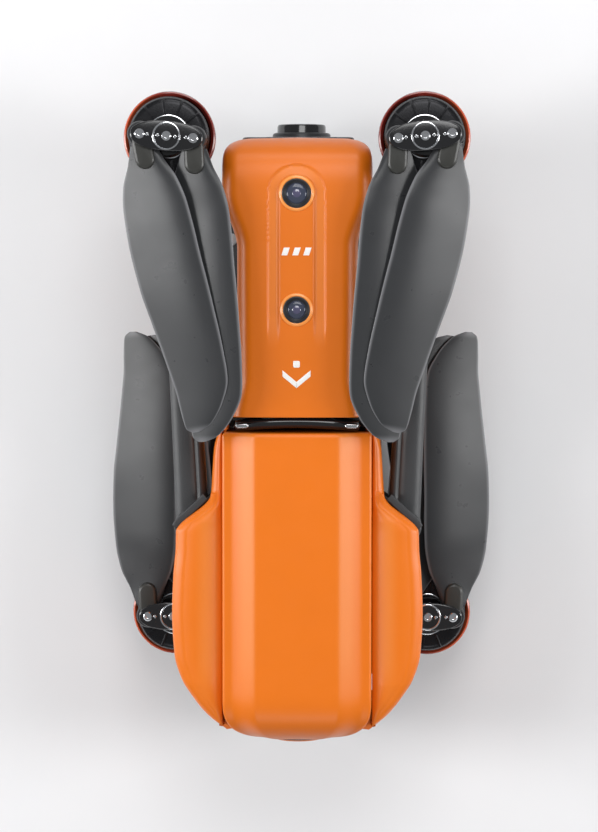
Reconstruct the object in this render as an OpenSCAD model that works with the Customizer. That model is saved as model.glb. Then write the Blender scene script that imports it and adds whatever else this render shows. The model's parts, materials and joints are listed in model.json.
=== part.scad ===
// Folding quadcopter in its stowed pose. Millimetres, nose towards +Y, +Z up, standing on its feet at z = 0.
// Left pieces are drawn on the -X side, and right pieces are their mirror images.

/* [Body] */
// Distance from the origin to the nose tip
nose_tip_y = 103; // [98:0.5:108]
// Distance from the origin to the tail, so the whole part is centred on the origin
tail_y = -117.5; // [-122:0.5:-112]
// Half width of the narrow waist beside the stowed blades
waist_half = 21.6; // [18:0.1:22.5]
// Half width of the nose at its widest
nose_half = 27; // [25:0.1:28]
// Half width across the rear fairings
hip_half = 45.4; // [44.4:0.1:52]
// Height of the nose cover's top
nose_top_z = 95; // [88:0.5:96.5]
// Half width of the belly
belly_half = 24; // [20:0.1:24.5]
// Height of the belly's underside
belly_z = 5; // [4:0.1:6]
// Height of the deck that carries the battery
deck_z = 42; // [41.5:0.1:46]
// Wall of the moulded shells
wall = 1.8; // [1.2:0.1:2.2]

/* [Battery] */
// Half width of the battery
battery_half = 26.9; // [22:0.1:27.3]
// Height of the battery
battery_h = 51.2; // [44:0.1:52]
// Radius of the power button
button_r = 9; // [6:0.1:9.5]
// Travel of the battery out of its bay is set in the record; this is the gap round it
battery_gap = 0.3; // [0.2:0.05:0.6]

/* [Arms] */
// Radius of the four hinge pins
pin_r = 2.5; // [1.8:0.05:3]
// Radial clearance of a running fit
run_gap = 0.06; // [0.02:0.01:0.1]
// Thickness of a rear arm
rear_arm_h = 14; // [11:0.5:14]
// Thickness of a front arm
front_arm_h = 11; // [9:0.5:11]
// Half width of an arm
arm_half = 6; // [5:0.1:6.4]
// Radius of a motor pod
pod_r = 13.5; // [12:0.1:15]

/* [Rotors] */
// Outer radius of a motor bell
bell_r = 15; // [13:0.1:15.5]
// Height of a motor bell
bell_h = 9.5; // [8.5:0.1:9.5]
// Distance from a hub's centre to a blade pin
pin_offset = 9.5; // [9:0.1:10.5]
// Length of a blade from its pin to its tip
blade_len = 107.5; // [80:0.5:108]
// Widest chord of a blade
blade_chord = 26; // [18:0.5:26]

/* [Hidden] */
$fn = 48;

orange = [0.93, 0.45, 0.12];
dark = [0.16, 0.17, 0.18];
black = [0.04, 0.04, 0.05];
metal = [0.62, 0.63, 0.65];
board_green = [0.05, 0.28, 0.16];
// Overlap of solids that join
eps = 0.01;

// Hinges and motor axes of the stowed left side, as [x, y]
rear_hinge = [-38.5, -38];
rear_motor = [-45.6, -tail_y - bell_r];
front_hinge = [-27, nose_tip_y - 37];
front_motor = [-48, -76];

// Heights of the rear arm, the front arm and their motor seats
knuckle_r = 6.5;
ear_t = 2.9;
ear_gap = 0.35;
rear_arm_z = 66;
rear_seat_z = nose_top_z - 10.5;
front_arm_z = belly_z + ear_gap + ear_t + 0.5;
front_seat_z = front_arm_z + front_arm_h;

// Motor stack above its seat
shaft_r = 1.5;
stator_h = 7;
stator_r = bell_r - 3.5;
bell_lift = 1.5;
magnet_t = 0.9;
bell_wall = 1.6;
bell_top = bell_lift + bell_h;
hub_disc_r = 7.2;
hub_disc_h = 1.6;
plate_t = 1.7;
plate_half = 4.9;
boss_h = 5.2;
boss_gap = 0.2;
boss_z = bell_top + hub_disc_h + plate_t + boss_gap;
hub_top_z = boss_z + boss_h + boss_gap + plate_t;
blade_pin_r = 1.5;
screw_h = 0.7;

// Turn of a stowed rear hub, which brings its outer end forward
hub_turn = 5;

// Angles of the stowed blades from the line along the body: [outer, inner]
rear_lean = [11, 2];
front_lean = [2.5, 9];

// Battery bay and battery
bay_clear = 1.1;
bay_in = battery_half + bay_clear;
bay_wall_t = 2.5;
bay_rear_y = -97;
cheek_y = -24;
deck_t = 2.5;
battery_z = deck_z + deck_t + battery_gap;
battery_top_z = battery_z + battery_h;
battery_front_y = -3.2;
socket_half = 13;
seam_half = battery_half - 2.9;
socket_z = battery_z + 6;
socket_h = 14;
case_wall = 2;
button_proud = 1;
case_end_y = tail_y + button_proud;
button_z = battery_top_z - 27;
latch_z = battery_top_z - 44;
latch_h = 25.6;
latch_len = 10;
latch_y = case_end_y + 4;
latch_out = 5.4;
latch_travel = 2;

// Nose floor and gimbal
nose_floor_z = 50;
belly_front_y = nose_tip_y - 51;
yaw_y = nose_tip_y - 13;
tilt_z = 21.5;
camera_half = 15.3;
camera_r = 15;
yaw_motor_r = 11;
yaw_stub_z = nose_floor_z - 3;
damper_z = nose_floor_z + deck_t + 3.5;
roll_motor_r = 8;

// Sensors
top_sensor_y = [nose_tip_y - 20.5, 41];
top_lens_r = 4.6;
bezel_w = 1.1;
small_lens_r = 3.6;
front_sensor_x = 13;
front_sensor_z = 66;

// ---------------------------------------------------------------- helpers

function mirrored(points) = concat(points, [for (i = [len(points) - 1:-1:0]) [-points[i][0], points[i][1]]]);

// A capsule-shaped plate along X
module capsule(half_len, half_w, h) {
    translate([-half_len, -half_w, 0]) cube([2 * half_len, 2 * half_w, h]);
    for (s = [-1, 1]) translate([s * half_len, 0, 0]) cylinder(r = half_w, h = h);
}

// A plate drawn as an outline in Y and Z, with its thickness along X
module side_plate(points, x0, x1)
    translate([x0, 0, 0]) rotate([90, 0, 90]) linear_extrude(x1 - x0) polygon(points);

// A plate drawn as an outline in X and Z, running along Y
module cross_plate(points, y0, y1)
    translate([0, y1, 0]) rotate([90, 0, 0]) linear_extrude(y1 - y0) polygon(points);

module at_left() children();
module at_right() mirror([1, 0, 0]) children();

// ---------------------------------------------------------------- airframe

// Half outline of the nose in plan, drawn in by inset
function nose_half_outline(inset) = [
    [waist_half + 2.6 - inset, 2.5 + inset], [waist_half + 1.4 - inset, 8], [waist_half - inset, 18],
    [waist_half - inset, nose_tip_y - 41], [waist_half + 1.8 - inset, nose_tip_y - 33],
    [nose_half - 0.6 - inset, nose_tip_y - 25], [nose_half - inset, nose_tip_y - 16],
    [nose_half - 0.9 - inset, nose_tip_y - 9], [nose_half - 3.4 - inset, nose_tip_y - 4 - inset],
    [nose_half - 7.5 - inset, nose_tip_y - 1 - inset], [nose_half - 13 - inset, nose_tip_y - inset]];

// Outline of the nose cover in Y and Z, drawn in by inset
function nose_side_outline(inset) = [
    [2.5 + inset, deck_z + deck_t], [belly_front_y, deck_z + deck_t], [belly_front_y, nose_floor_z + deck_t],
    [nose_tip_y - inset, nose_floor_z + deck_t], [nose_tip_y - inset, nose_top_z - 20 - inset],
    [nose_tip_y - 2 - inset, nose_top_z - 11 - inset], [nose_tip_y - 7 - inset, nose_top_z - 4 - inset],
    [nose_tip_y - 15 - inset, nose_top_z - inset], [2.5 + inset, nose_top_z - inset]];

// Outline of the nose cover in X and Z: upright sides and sloped top edges
function nose_cross_outline(inset) = mirrored([
    [nose_half + 1 - inset, deck_z], [nose_half + 1 - inset, nose_top_z - 14],
    [nose_half - 2 - inset, nose_top_z - 5], [waist_half - 4 - inset, nose_top_z - inset]]);

module nose_block(inset) intersection() {
    translate([0, 0, deck_z]) linear_extrude(80) polygon(mirrored(nose_half_outline(inset)));
    side_plate(nose_side_outline(inset), -40, 40);
    cross_plate(nose_cross_outline(inset), -10, 120);
}

module nose_cover() color(orange) difference() {
    nose_block(0);
    difference() {
        nose_block(wall);
        // mounting posts for the cover screws
        for (s = [-1, 1]) translate([s * 14, belly_front_y - 22, 0]) cylinder(r = 3, h = 120);
    }
    for (y = top_sensor_y) translate([0, y, nose_top_z - 10]) cylinder(r = top_lens_r + bezel_w, h = 20);
    // opening behind the battery socket
    translate([-socket_half - 1, 0, socket_z - 1]) cube([2 * socket_half + 2, 2.5 + wall + 1, socket_h + 2]);
    // window of the front sensor bar
    translate([-21, nose_tip_y - 6, front_sensor_z - 7]) cube([42, 10, 14]);
}

// Ear of a hinge: a round lug with a straight web back to the frame
module ear(hinge, web, z) difference() {
    union() {
        translate([hinge[0], hinge[1], z]) cylinder(r = knuckle_r - 0.8, h = ear_t);
        translate([0, 0, z]) linear_extrude(ear_t) polygon(web);
    }
    translate([hinge[0], hinge[1], z - 1]) cylinder(r = pin_r + 0.02, h = ear_t + 2);
}

bay_out = bay_in + bay_wall_t;
rear_web = [[-bay_out + 0.5, -26], [-bay_out - 1.2, -26.6], [rear_hinge[0] - 2.5, rear_hinge[1] + 4.8],
    [rear_hinge[0] - 2.5, rear_hinge[1] - 4.8], [-bay_out + 0.5, -50]];
front_web = [[-belly_half + 8, belly_front_y - 2], [-belly_half - 4, belly_front_y - 2],
    [front_hinge[0] - 4.8, front_hinge[1] - 2], [front_hinge[0] + 4.8, front_hinge[1] + 2]];
rear_ear_z = [rear_arm_z - ear_gap - ear_t, rear_arm_z + rear_arm_h + ear_gap];
front_ear_z = [front_arm_z - ear_gap - ear_t, front_arm_z + front_arm_h + ear_gap];

module chassis_half() {
    // side wall of the battery bay
    translate([-bay_out, bay_rear_y, deck_z]) cube([bay_wall_t, cheek_y - 0.3 - bay_rear_y, 42]);
    for (z = rear_ear_z) ear(rear_hinge, rear_web, z);
}

module chassis() color(dark) {
    difference() {
        union() {
            translate([0, 0, deck_z]) linear_extrude(deck_t) polygon(mirrored([
                [bay_out, bay_rear_y], [bay_out, -6], [waist_half - wall - 0.4, 2],
                [waist_half - wall - 0.4, belly_front_y]]));
            // step up to the nose floor
            translate([-16, belly_front_y - 3, deck_z]) cube([32, 3, nose_floor_z - deck_z + deck_t]);
            translate([0, 0, nose_floor_z]) linear_extrude(deck_t) polygon(mirrored([
                [16, belly_front_y - 3], [waist_half - wall - 0.4, belly_front_y + 3],
                [waist_half - wall - 0.4, nose_tip_y - 37], [nose_half - wall - 1.2, nose_tip_y - 25],
                [nose_half - wall - 1.2, nose_tip_y - 13],
                [nose_half - wall - 5, nose_tip_y - wall - 3]]));
            // bulkhead in front of the battery
            translate([-bay_in + 3.2, -1.6, deck_z]) cube([2 * bay_in - 6.4, 3.2, 40]);
            at_left() chassis_half();
            at_right() chassis_half();
        }
        translate([0, yaw_y, nose_floor_z - 1]) cylinder(r = yaw_motor_r + 2.5, h = deck_t + 2);
        // seat of the battery socket
        translate([-socket_half, -5, socket_z]) cube([2 * socket_half, 10, socket_h]);
    }
}

card_door_y = [-106, -92];
card_door_z = [14, 28];
door_t = 1.6;

module lower_shell() color(dark) {
    difference() {
        union() {
            translate([0, 0, belly_z]) linear_extrude(deck_z - belly_z) polygon(mirrored([
                [belly_half - 5, -109], [belly_half, -103], [belly_half, belly_front_y - 8],
                [belly_half - 5, belly_front_y]]));
            at_left() for (z = front_ear_z) ear(front_hinge, front_web, z);
            at_right() for (z = front_ear_z) ear(front_hinge, front_web, z);
        }
        // inside of the tub
        translate([0, 0, belly_z + wall]) linear_extrude(deck_z) polygon(mirrored([
            [belly_half - 5 - wall * 0.6, -109 + wall], [belly_half - wall, -103 + wall * 0.4],
            [belly_half - wall, belly_front_y - 8 - wall * 0.4],
            [belly_half - 5 - wall * 0.6, belly_front_y - wall]]));
        // long grooves under the belly edges
        for (s = [-1, 1]) translate([s * (belly_half - 3.5) - 0.6, -88, belly_z - 1]) cube([1.2, 120, 1.5]);
        // air intake slots
        for (i = [0:5]) translate([-8, belly_front_y - 38 + i * 3.6, belly_z - 1]) cube([16, 1.8, wall + 2]);
        // air outlet slots on both sides
        for (s = [-1, 1], i = [0:4]) translate([s * belly_half - 3, -64 + i * 5, 26]) cube([6, 2.4, 9]);
        // belly sensors
        for (y = belly_sensor_y) translate([0, y, belly_z - 1]) cylinder(r = 4.4, h = wall + 2);
        // rear sensors
        for (s = [-1, 1]) translate([s * rear_sensor_x, -106, rear_sensor_z]) rotate([90, 0, 0])
            cylinder(r = small_lens_r + 0.8, h = 6);
        // card slot behind its door
        translate([belly_half - door_t - ear_gap, card_door_y[0] + 3, card_door_z[0] - 0.3])
            cube([5, card_door_y[1] - card_door_y[0] - 2.7, card_door_z[1] - card_door_z[0] + 0.6]);
        for (p = screw_places) translate([p[0], p[1], belly_z - 1]) cylinder(r = 2.9, h = 2.4);
        for (p = screw_places) translate([p[0], p[1], belly_z - 1]) cylinder(r = 1.5, h = 10);
    }
}

belly_sensor_y = [belly_front_y - 52, belly_front_y - 76];
rear_sensor_x = 12;
rear_sensor_z = 26;
screw_places = [for (x = [-15.5, 15.5], y = [-80, -36, belly_front_y - 48]) [x, y]];

module case_screws() color(metal)
    for (p = screw_places) translate([p[0], p[1], belly_z + 0.1]) {
        difference() {
            cylinder(r = 2.7, h = 1.2);
            translate([0, 0, -1]) cylinder(r = 1.2, h = 1.8, $fn = 6);
        }
        translate([0, 0, 1.2]) cylinder(r = 1.35, h = 7);
    }

feet_places = [for (x = [-13, 13], y = [-94, belly_front_y - 10]) [x, y]];

module belly_feet() color(black)
    for (p = feet_places) translate([p[0], p[1], 0]) {
        cylinder(r1 = 4.2, r2 = 5.4, h = 3);
        translate([0, 0, 3]) cylinder(r = 5.4, h = belly_z - 3);
    }

// A hinge pin as long as both ears and what is between them
module arm_pin(hinge, ear_z) translate([hinge[0], hinge[1], ear_z[0]])
    cylinder(r = pin_r, h = ear_z[1] + ear_t - ear_z[0]);

module arm_pins() color(metal) for (s = [0, 1]) mirror([s, 0, 0]) {
    arm_pin(rear_hinge, rear_ear_z);
    arm_pin(front_hinge, front_ear_z);
}

// Crest of a rear fairing
hip_top_z = 89;

// Half outline of a rear fairing in plan, from the waist to the tail
function hip_outline(inset) = [
    [-bay_in + 0.4, -17 - inset], [-bay_out - 1.5, -21 - inset], [-hip_half + 2.6 + inset * 0.4, -36 - inset],
    [-hip_half + inset, -40 - inset], [-hip_half + inset, -84],
    [-hip_half + 3.2 + inset, -92.5], [-hip_half + 7.8 + inset, -100 + inset * 0.6],
    [-hip_half + 13 + inset, -106.6 + inset],
    [-bay_in + 0.4, -110.6 + inset]];

// Cross section of a rear fairing: a low rounded roof with a skirt
function hip_cross(inset, skirt_z) = [
    [-bay_in + 0.4, hip_top_z - 3.2 - inset], [-bay_in - 3, hip_top_z - 0.4 - inset], [-bay_in - 7, hip_top_z - inset],
    [-bay_in - 11.5, hip_top_z - 1 - inset], [-hip_half + 2 + inset, hip_top_z - 2.4 - inset],
    [-hip_half + inset, hip_top_z - 4.6 - inset], [-hip_half + inset, skirt_z],
    [-bay_in + 0.4, skirt_z]];

roof_z = rear_ear_z[1] + ear_t + 0.3;
skirt_y = -53;

// Cheek in front of a hip: it closes the side of the battery bay and stands on the deck
module cheek() translate([0, 0, deck_z + deck_t]) linear_extrude(hip_top_z - 3.2 - deck_z - deck_t) polygon([
    [-bay_in, cheek_y], [-bay_out - 0.3, cheek_y], [-bay_out + 0.3, -10], [-bay_in - 0.6, -3],
    [-bay_in + 1.6, 1.4], [-bay_in + 3, 1.4], [-bay_in + 3, -2.7], [-bay_in, -2.7]]);

module rear_fairing() color(orange) {
    cheek();
    hip();
}

module hip() difference() {
    intersection() {
        translate([0, 0, 40]) linear_extrude(60) polygon(hip_outline(0));
        cross_plate(hip_cross(0, 46), -120, 0);
    }
    // room for the arm's swing and the hinge ears
    translate([-60, skirt_y, 30]) cube([60 - bay_out + 1, 60, rear_arm_z + rear_arm_h + ear_gap - 30]);
    translate([0, 0, 0]) linear_extrude(roof_z) polygon([
        [-bay_out + 3, 0], [-bay_out + 3, skirt_y], [-hip_half + wall, skirt_y],
        [-hip_half + wall, -44], [-hip_half + 0.8, -40],
        [-hip_half - 6, -36], [-hip_half - 6, 0]]);
    // hollow behind the hinge
    intersection() {
        translate([0, 0, 30]) linear_extrude(70) polygon(hip_outline(wall));
        cross_plate(hip_cross(wall, 40), -105, skirt_y - wall);
        translate([-60, -120, 0]) cube([60 - bay_out - 0.1, 120, 100]);
    }
    // room round the bay wall and the battery
    translate([-bay_out - 0.1, -98, 30]) cube([40, 120, deck_z + 42.2 - 30]);
    translate([-bay_out - 4, -120, 30]) cube([40, 120 + bay_rear_y - 1, deck_z + 42.2 - 30]);
}

module rear_fairing_left() at_left() rear_fairing();
module rear_fairing_right() at_right() rear_fairing();

module lens(r, h) union() {
    cylinder(r = r, h = h - 0.6);
    translate([0, 0, h - 0.6]) cylinder(r1 = r, r2 = r * 0.7, h = 0.6);
}

module each_lens() {
    for (y = top_sensor_y) translate([0, y, nose_top_z - 4.6]) children(0);
    for (s = [-1, 1]) translate([s * front_sensor_x, nose_tip_y - 3, front_sensor_z])
        rotate([-90, 0, 0]) children(1);
    for (s = [-1, 1]) translate([s * rear_sensor_x, -106.4, rear_sensor_z]) rotate([90, 0, 0]) children(2);
    for (y = belly_sensor_y) translate([0, y, belly_z + 2.6]) rotate([180, 0, 0]) children(2);
}

module vision_lenses() color(black) each_lens() {
    lens(top_lens_r, 4.2);
    lens(small_lens_r, 3.4);
    lens(small_lens_r, 2.4);
}

module bezel(r, w, h) difference() {
    cylinder(r = r + w, h = h);
    translate([0, 0, -1]) cylinder(r = r + 0.05, h = h + 2);
}

module lens_bezels() color(black) {
    for (y = top_sensor_y) translate([0, y, nose_top_z - 4.4]) bezel(top_lens_r, bezel_w - 0.15, 4.6);
    for (s = [-1, 1]) translate([s * rear_sensor_x, -106.6, rear_sensor_z])
        rotate([90, 0, 0]) bezel(small_lens_r, 0.65, 2.6);
    for (y = belly_sensor_y) translate([0, y, belly_z + 2.4]) rotate([180, 0, 0]) bezel(small_lens_r, 0.65, 2.6);
}

module front_sensor_bar() color(black) difference() {
    translate([-20.6, nose_tip_y - 5, front_sensor_z - 6.6]) cube([41.2, 5.2, 13.2]);
    for (s = [-1, 1]) translate([s * front_sensor_x, nose_tip_y - 3.2, front_sensor_z])
        rotate([-90, 0, 0]) cylinder(r = small_lens_r + 0.05, h = 10);
}

module seam_strip() color(black) difference() {
    translate([0, 0, 82]) linear_extrude(9)
        polygon(mirrored([[seam_half - 1.2, -1.8], [seam_half, 0], [seam_half - 1.6, 1.9]]));
    translate([3 - seam_half, -1, 89.6]) cube([2 * seam_half - 6, 2, 4]);
}

// ---------------------------------------------------------------- inside the body

module board(x, y, z, holes) difference() {
    translate([-x / 2, y[0], z]) cube([x, y[1] - y[0], 1.6]);
    for (h = holes) translate([h[0], h[1], z - 1]) cylinder(r = 1.2, h = 4);
}

module main_board() color(board_green) {
    board(36, [-30, belly_front_y - 8], 32,
        [[-15, -26], [15, -26], [-15, belly_front_y - 12], [15, belly_front_y - 12]]);
    // shielded chips
    translate([-12, -18, 33.6]) cube([24, 20, 2.4]);
    translate([-9, belly_front_y - 40, 33.6]) cube([18, 16, 2]);
    for (x = [-15, 11]) translate([x, belly_front_y - 20, 33.6]) cube([4, 8, 3]);
}

module esc_board() color(board_green) {
    board(38, [-84, -38], 20, [[-16, -80], [16, -80], [-16, -42], [16, -42]]);
    for (i = [0:3]) translate([-16 + i * 8.6, -76, 21.6]) cube([6, 8, 1.2]);
    for (i = [0:3]) translate([-16 + i * 8.6, -52, 21.6]) cube([6, 8, 1.2]);
}

module heat_sink() color(metal) {
    translate([-17, -66, 21.6]) cube([34, 12, 2]);
    for (i = [0:8]) translate([-17 + i * 4.1, -66, 23.6]) cube([1.2, 12, 6]);
}

module gps_antenna() color([0.75, 0.7, 0.6]) {
    translate([-11, yaw_y - 37, nose_floor_z + deck_t]) cube([22, 20, 1.6]);
    translate([-9, yaw_y - 36, nose_floor_z + deck_t + 1.6]) cube([18, 18, 4]);
}

fan_place = [0, belly_front_y - 28, belly_z + wall + 0.2];
fan_r = 13;

module fan_housing() color(black) translate(fan_place) difference() {
    translate([-15.5, -15.5, 0]) cube([31, 31, 9]);
    translate([0, 0, 1.2]) cylinder(r = fan_r + 0.6, h = 10);
    translate([0, 0, -1]) cylinder(r = 9.5, h = 4);
    translate([-30, -6, 1.2]) cube([20, 12, 6.4]);
}

module fan_rotor() color(dark) translate(fan_place + [0, 0, 1.7]) {
    cylinder(r = 4, h = 6);
    cylinder(r = fan_r - 0.2, h = 0.8);
    for (i = [0:10]) rotate([0, 0, i * 360 / 11]) translate([3.6, -0.4, 0.6]) cube([8.6, 0.8, 5]);
}

module battery_socket() color(black) difference() {
    translate([-socket_half, -1.6, socket_z]) cube([2 * socket_half, 9, socket_h]);
    for (i = [-2:2]) translate([i * 4.6 - 0.7, -2, socket_z + 3]) cube([1.4, 6, socket_h - 6]);
}

// The hinge pin of the card door runs along Z at the rear edge of the card slot
card_pin = [belly_half - 1.4, card_door_y[0] + 1.5];

module card_door() color(dark) {
    translate([belly_half - door_t, card_door_y[0] + 3.4, card_door_z[0]])
        cube([door_t, card_door_y[1] - card_door_y[0] - 3.8, card_door_z[1] - card_door_z[0]]);
    translate([belly_half + 0.1, card_door_y[0] + 1.2, card_door_z[0] + 3]) cube([1.1, 3, 8]);
    translate([belly_half - 0.6, card_door_y[0] + 3.4, card_door_z[0] + 3]) cube([1.8, 2.4, 8]);
    translate([belly_half + 1.3, card_door_y[0] + 1.4, card_door_z[0] + 3]) cylinder(r = 1.2, h = 8);
}

// ---------------------------------------------------------------- gimbal

module gimbal_mount() color(dark) {
    translate([-17, yaw_y - 15, damper_z]) cube([34, 23, 2]);
    translate([0, yaw_y, yaw_stub_z]) cylinder(r = yaw_motor_r, h = damper_z - yaw_stub_z);
}

module damper_balls() color(black)
    for (x = [-14.6, 14.6], y = [-12.4, 5.4]) translate([x, yaw_y + y, nose_floor_z + deck_t]) {
        cylinder(r1 = 1.7, r2 = 2.2, h = 1.75);
        translate([0, 0, 1.75]) cylinder(r1 = 2.2, r2 = 1.7, h = 1.75);
    }

yaw_disc_z = yaw_stub_z - 0.3 - 2.2;

module gimbal_yaw_arm() color(dark) {
    translate([0, yaw_y, yaw_disc_z]) cylinder(r = yaw_motor_r, h = 2.2);
    translate([-7, yaw_y - 26.5, yaw_disc_z]) cube([14, 22, 2.2]);
    translate([-7, yaw_y - 26.5, tilt_z - 8]) cube([14, 2.6, yaw_disc_z - tilt_z + 9]);
    translate([0, yaw_y - 24, tilt_z]) rotate([-90, 0, 0]) cylinder(r = roll_motor_r, h = 4.8);
}

tilt_motor_x = camera_half + 0.4;

module gimbal_roll_arm() color(dark) {
    translate([0, yaw_y - 19, tilt_z]) rotate([-90, 0, 0]) cylinder(r = roll_motor_r, h = 1.8);
    translate([0, yaw_y - 19, tilt_z - 5.5]) cube([tilt_motor_x + 4.4, 1.8, 11]);
    translate([tilt_motor_x + 2, yaw_y - 19, tilt_z - 5.5]) cube([2.4, 19, 11]);
    difference() {
        translate([tilt_motor_x, yaw_y, tilt_z]) rotate([0, 90, 0]) cylinder(r = 8, h = 4.4);
        translate([tilt_motor_x - 1, yaw_y, tilt_z]) rotate([0, 90, 0]) cylinder(r = 2 + run_gap, h = 4);
    }
}

module camera_body() color(dark) {
    difference() {
        union() {
            translate([-camera_half, yaw_y, tilt_z]) rotate([0, 90, 0])
                cylinder(r = camera_r, h = 2 * camera_half);
            translate([-camera_half, yaw_y, tilt_z - 11.8]) cube([2 * camera_half, 14.2, 23.6]);
            translate([0, yaw_y + 14, tilt_z]) rotate([-90, 0, 0]) cylinder(r = 11, h = 2.4);
        }
        translate([0, yaw_y + 8, tilt_z]) rotate([-90, 0, 0]) cylinder(r = 9.4, h = 20);
    }
    translate([camera_half - 0.5, yaw_y, tilt_z]) rotate([0, 90, 0]) cylinder(r = 2, h = 2.6);
}

module camera_lens() color(black) translate([0, yaw_y + 8, tilt_z]) rotate([-90, 0, 0]) difference() {
    cylinder(r = 9.3, h = 11.6);
    translate([0, 0, 8.6]) cylinder(r1 = 3.4, r2 = 7.6, h = 3.2);
}

// ---------------------------------------------------------------- battery

// Cross section of the battery: flat top, sloped shoulders
function battery_cross(inset) = mirrored([
    [battery_half - 2.4 - inset * 0.6, battery_z + inset],
    [battery_half - inset, battery_z + 2.4 + inset * 0.4],
    [battery_half - inset, battery_top_z - 12 - inset * 0.3],
    [battery_half - 2.4 - inset, battery_top_z - 6 - inset * 0.4],
    [battery_half - 8.2 - inset * 0.7, battery_top_z - 1 - inset], [battery_half - 16, battery_top_z - inset]]);

function battery_plan(inset) = mirrored([
    [battery_half - 20, case_end_y + inset], [battery_half - 13, case_end_y + 1 + inset],
    [battery_half - 7.4 - inset * 0.5, case_end_y + 2.8 + inset],
    [battery_half - 3.3 - inset, case_end_y + 5.4 + inset],
    [battery_half, case_end_y + 9], [battery_half, battery_front_y - inset]]);

module battery_block(inset) intersection() {
    translate([0, 0, 30]) linear_extrude(80) polygon(battery_plan(inset));
    cross_plate(battery_cross(inset), case_end_y - 1, 0);
}

module battery_case() color(orange) difference() {
    battery_block(0);
    battery_block(case_wall);
    // seat of the power button
    translate([0, case_end_y + 5, button_z]) rotate([90, 0, 0]) cylinder(r = button_r + 0.3, h = 10);
    // grip groove across the tail
    translate([-13.5, case_end_y - 1, battery_z + 7]) cube([27, 1.8, 1.6]);
    // windows of the side latches
    for (s = [-1, 1]) translate([s * (battery_half - 2) - 5, latch_y - 0.4, latch_z - 0.4])
        cube([10, latch_len + 0.8, latch_h + 0.8]);
    // slot of the plug
    translate([-14, battery_front_y - 4, battery_z + 5.4]) cube([28, 8, 15.2]);
}

module battery_cells() color([0.7, 0.72, 0.74])
    for (i = [0:2]) translate([-battery_half + 5, case_end_y + 24, battery_z + 3 + i * 10.6])
        cube([2 * battery_half - 10, 82, 10]);

module battery_board() color(board_green) {
    translate([-20, case_end_y + 26, battery_z + 35.6]) cube([40, 70, 1.6]);
    for (i = [0:3]) translate([-15 + i * 8, case_end_y + 34, battery_z + 37.2]) cube([5, 7, 1.5]);
    translate([-11, battery_front_y - 6, battery_z + 7]) cube([22, 5.4, 12]);
}

module battery_button() color(orange) {
    translate([0, tail_y + 2.6, button_z]) rotate([90, 0, 0]) cylinder(r = button_r, h = 2.6);
    translate([0, tail_y + 6, button_z]) rotate([90, 0, 0]) cylinder(r = 3, h = 4);
}

module battery_latch() color(orange) {
    translate([-battery_half - latch_out, latch_y, latch_z]) cube([latch_out + 2.6, latch_len, latch_h]);
    for (z = [6, latch_h - 6]) translate([-battery_half + 2.6 - eps, latch_y + latch_len / 2, latch_z + z])
        rotate([0, 90, 0]) cylinder(r = 1.6, h = 2);
}

module battery_latch_left() at_left() battery_latch();
module battery_latch_right() at_right() battery_latch();

// ---------------------------------------------------------------- arms, on the left

// Straight beam between two places, with its half width at each end
module beam(a, b, wa, wb, h) {
    d = b - a;
    n = [-d[1], d[0]] / norm(d);
    linear_extrude(h) polygon([a + n * wa, a - n * wa, b - n * wb, b + n * wb]);
}

module arm(hinge, motor, z, h, seat) color(dark) difference() {
    union() {
        translate([hinge[0], hinge[1], z]) cylinder(r = knuckle_r, h = h);
        translate([0, 0, z]) beam(hinge, motor, arm_half, arm_half + 0.8, h);
        translate([motor[0], motor[1], z]) cylinder(r = pod_r, h = seat - z);
    }
    translate([hinge[0], hinge[1], z - 1]) cylinder(r = pin_r + run_gap, h = h + 2);
    // seat of the shaft and the wire hole
    translate([motor[0], motor[1], seat - 4]) cylinder(r = shaft_r + 0.3, h = 5);
}

module rear_arm_left() at_left() arm(rear_hinge, rear_motor, rear_arm_z, rear_arm_h, rear_seat_z);
module rear_arm_right() at_right() arm(rear_hinge, rear_motor, rear_arm_z, rear_arm_h, rear_seat_z);
module front_arm_left() at_left() arm(front_hinge, front_motor, front_arm_z, front_arm_h, front_seat_z);
module front_arm_right() at_right() arm(front_hinge, front_motor, front_arm_z, front_arm_h, front_seat_z);

module landing_leg() color(black) translate([front_motor[0], front_motor[1], 0]) {
    cylinder(r1 = 3.6, r2 = 4.4, h = 2);
    translate([0, 0, 2]) cylinder(r1 = 4.4, r2 = 8, h = front_arm_z - 2);
}

module landing_leg_left() at_left() landing_leg();
module landing_leg_right() at_right() landing_leg();

// ---------------------------------------------------------------- motors and hubs

module stator() color([0.55, 0.3, 0.16]) difference() {
    union() {
        cylinder(r = 4.2, h = stator_h);
        cylinder(r = 6, h = 1);
        for (i = [0:8]) rotate([0, 0, i * 40]) translate([3.6, -1.3, 1.6])
            cube([stator_r - 4.2, 2.6, stator_h - 1.8]);
        difference() {
            translate([0, 0, 1.6]) cylinder(r = stator_r, h = stator_h - 1.8);
            translate([0, 0, 0]) cylinder(r = stator_r - 1, h = stator_h + 1);
            for (i = [0:8]) rotate([0, 0, 20 + i * 40]) translate([stator_r - 2, -0.5, 1]) cube([4, 1, stator_h]);
        }
    }
    translate([0, 0, -1]) cylinder(r = shaft_r + run_gap, h = stator_h + 2);
}

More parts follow.
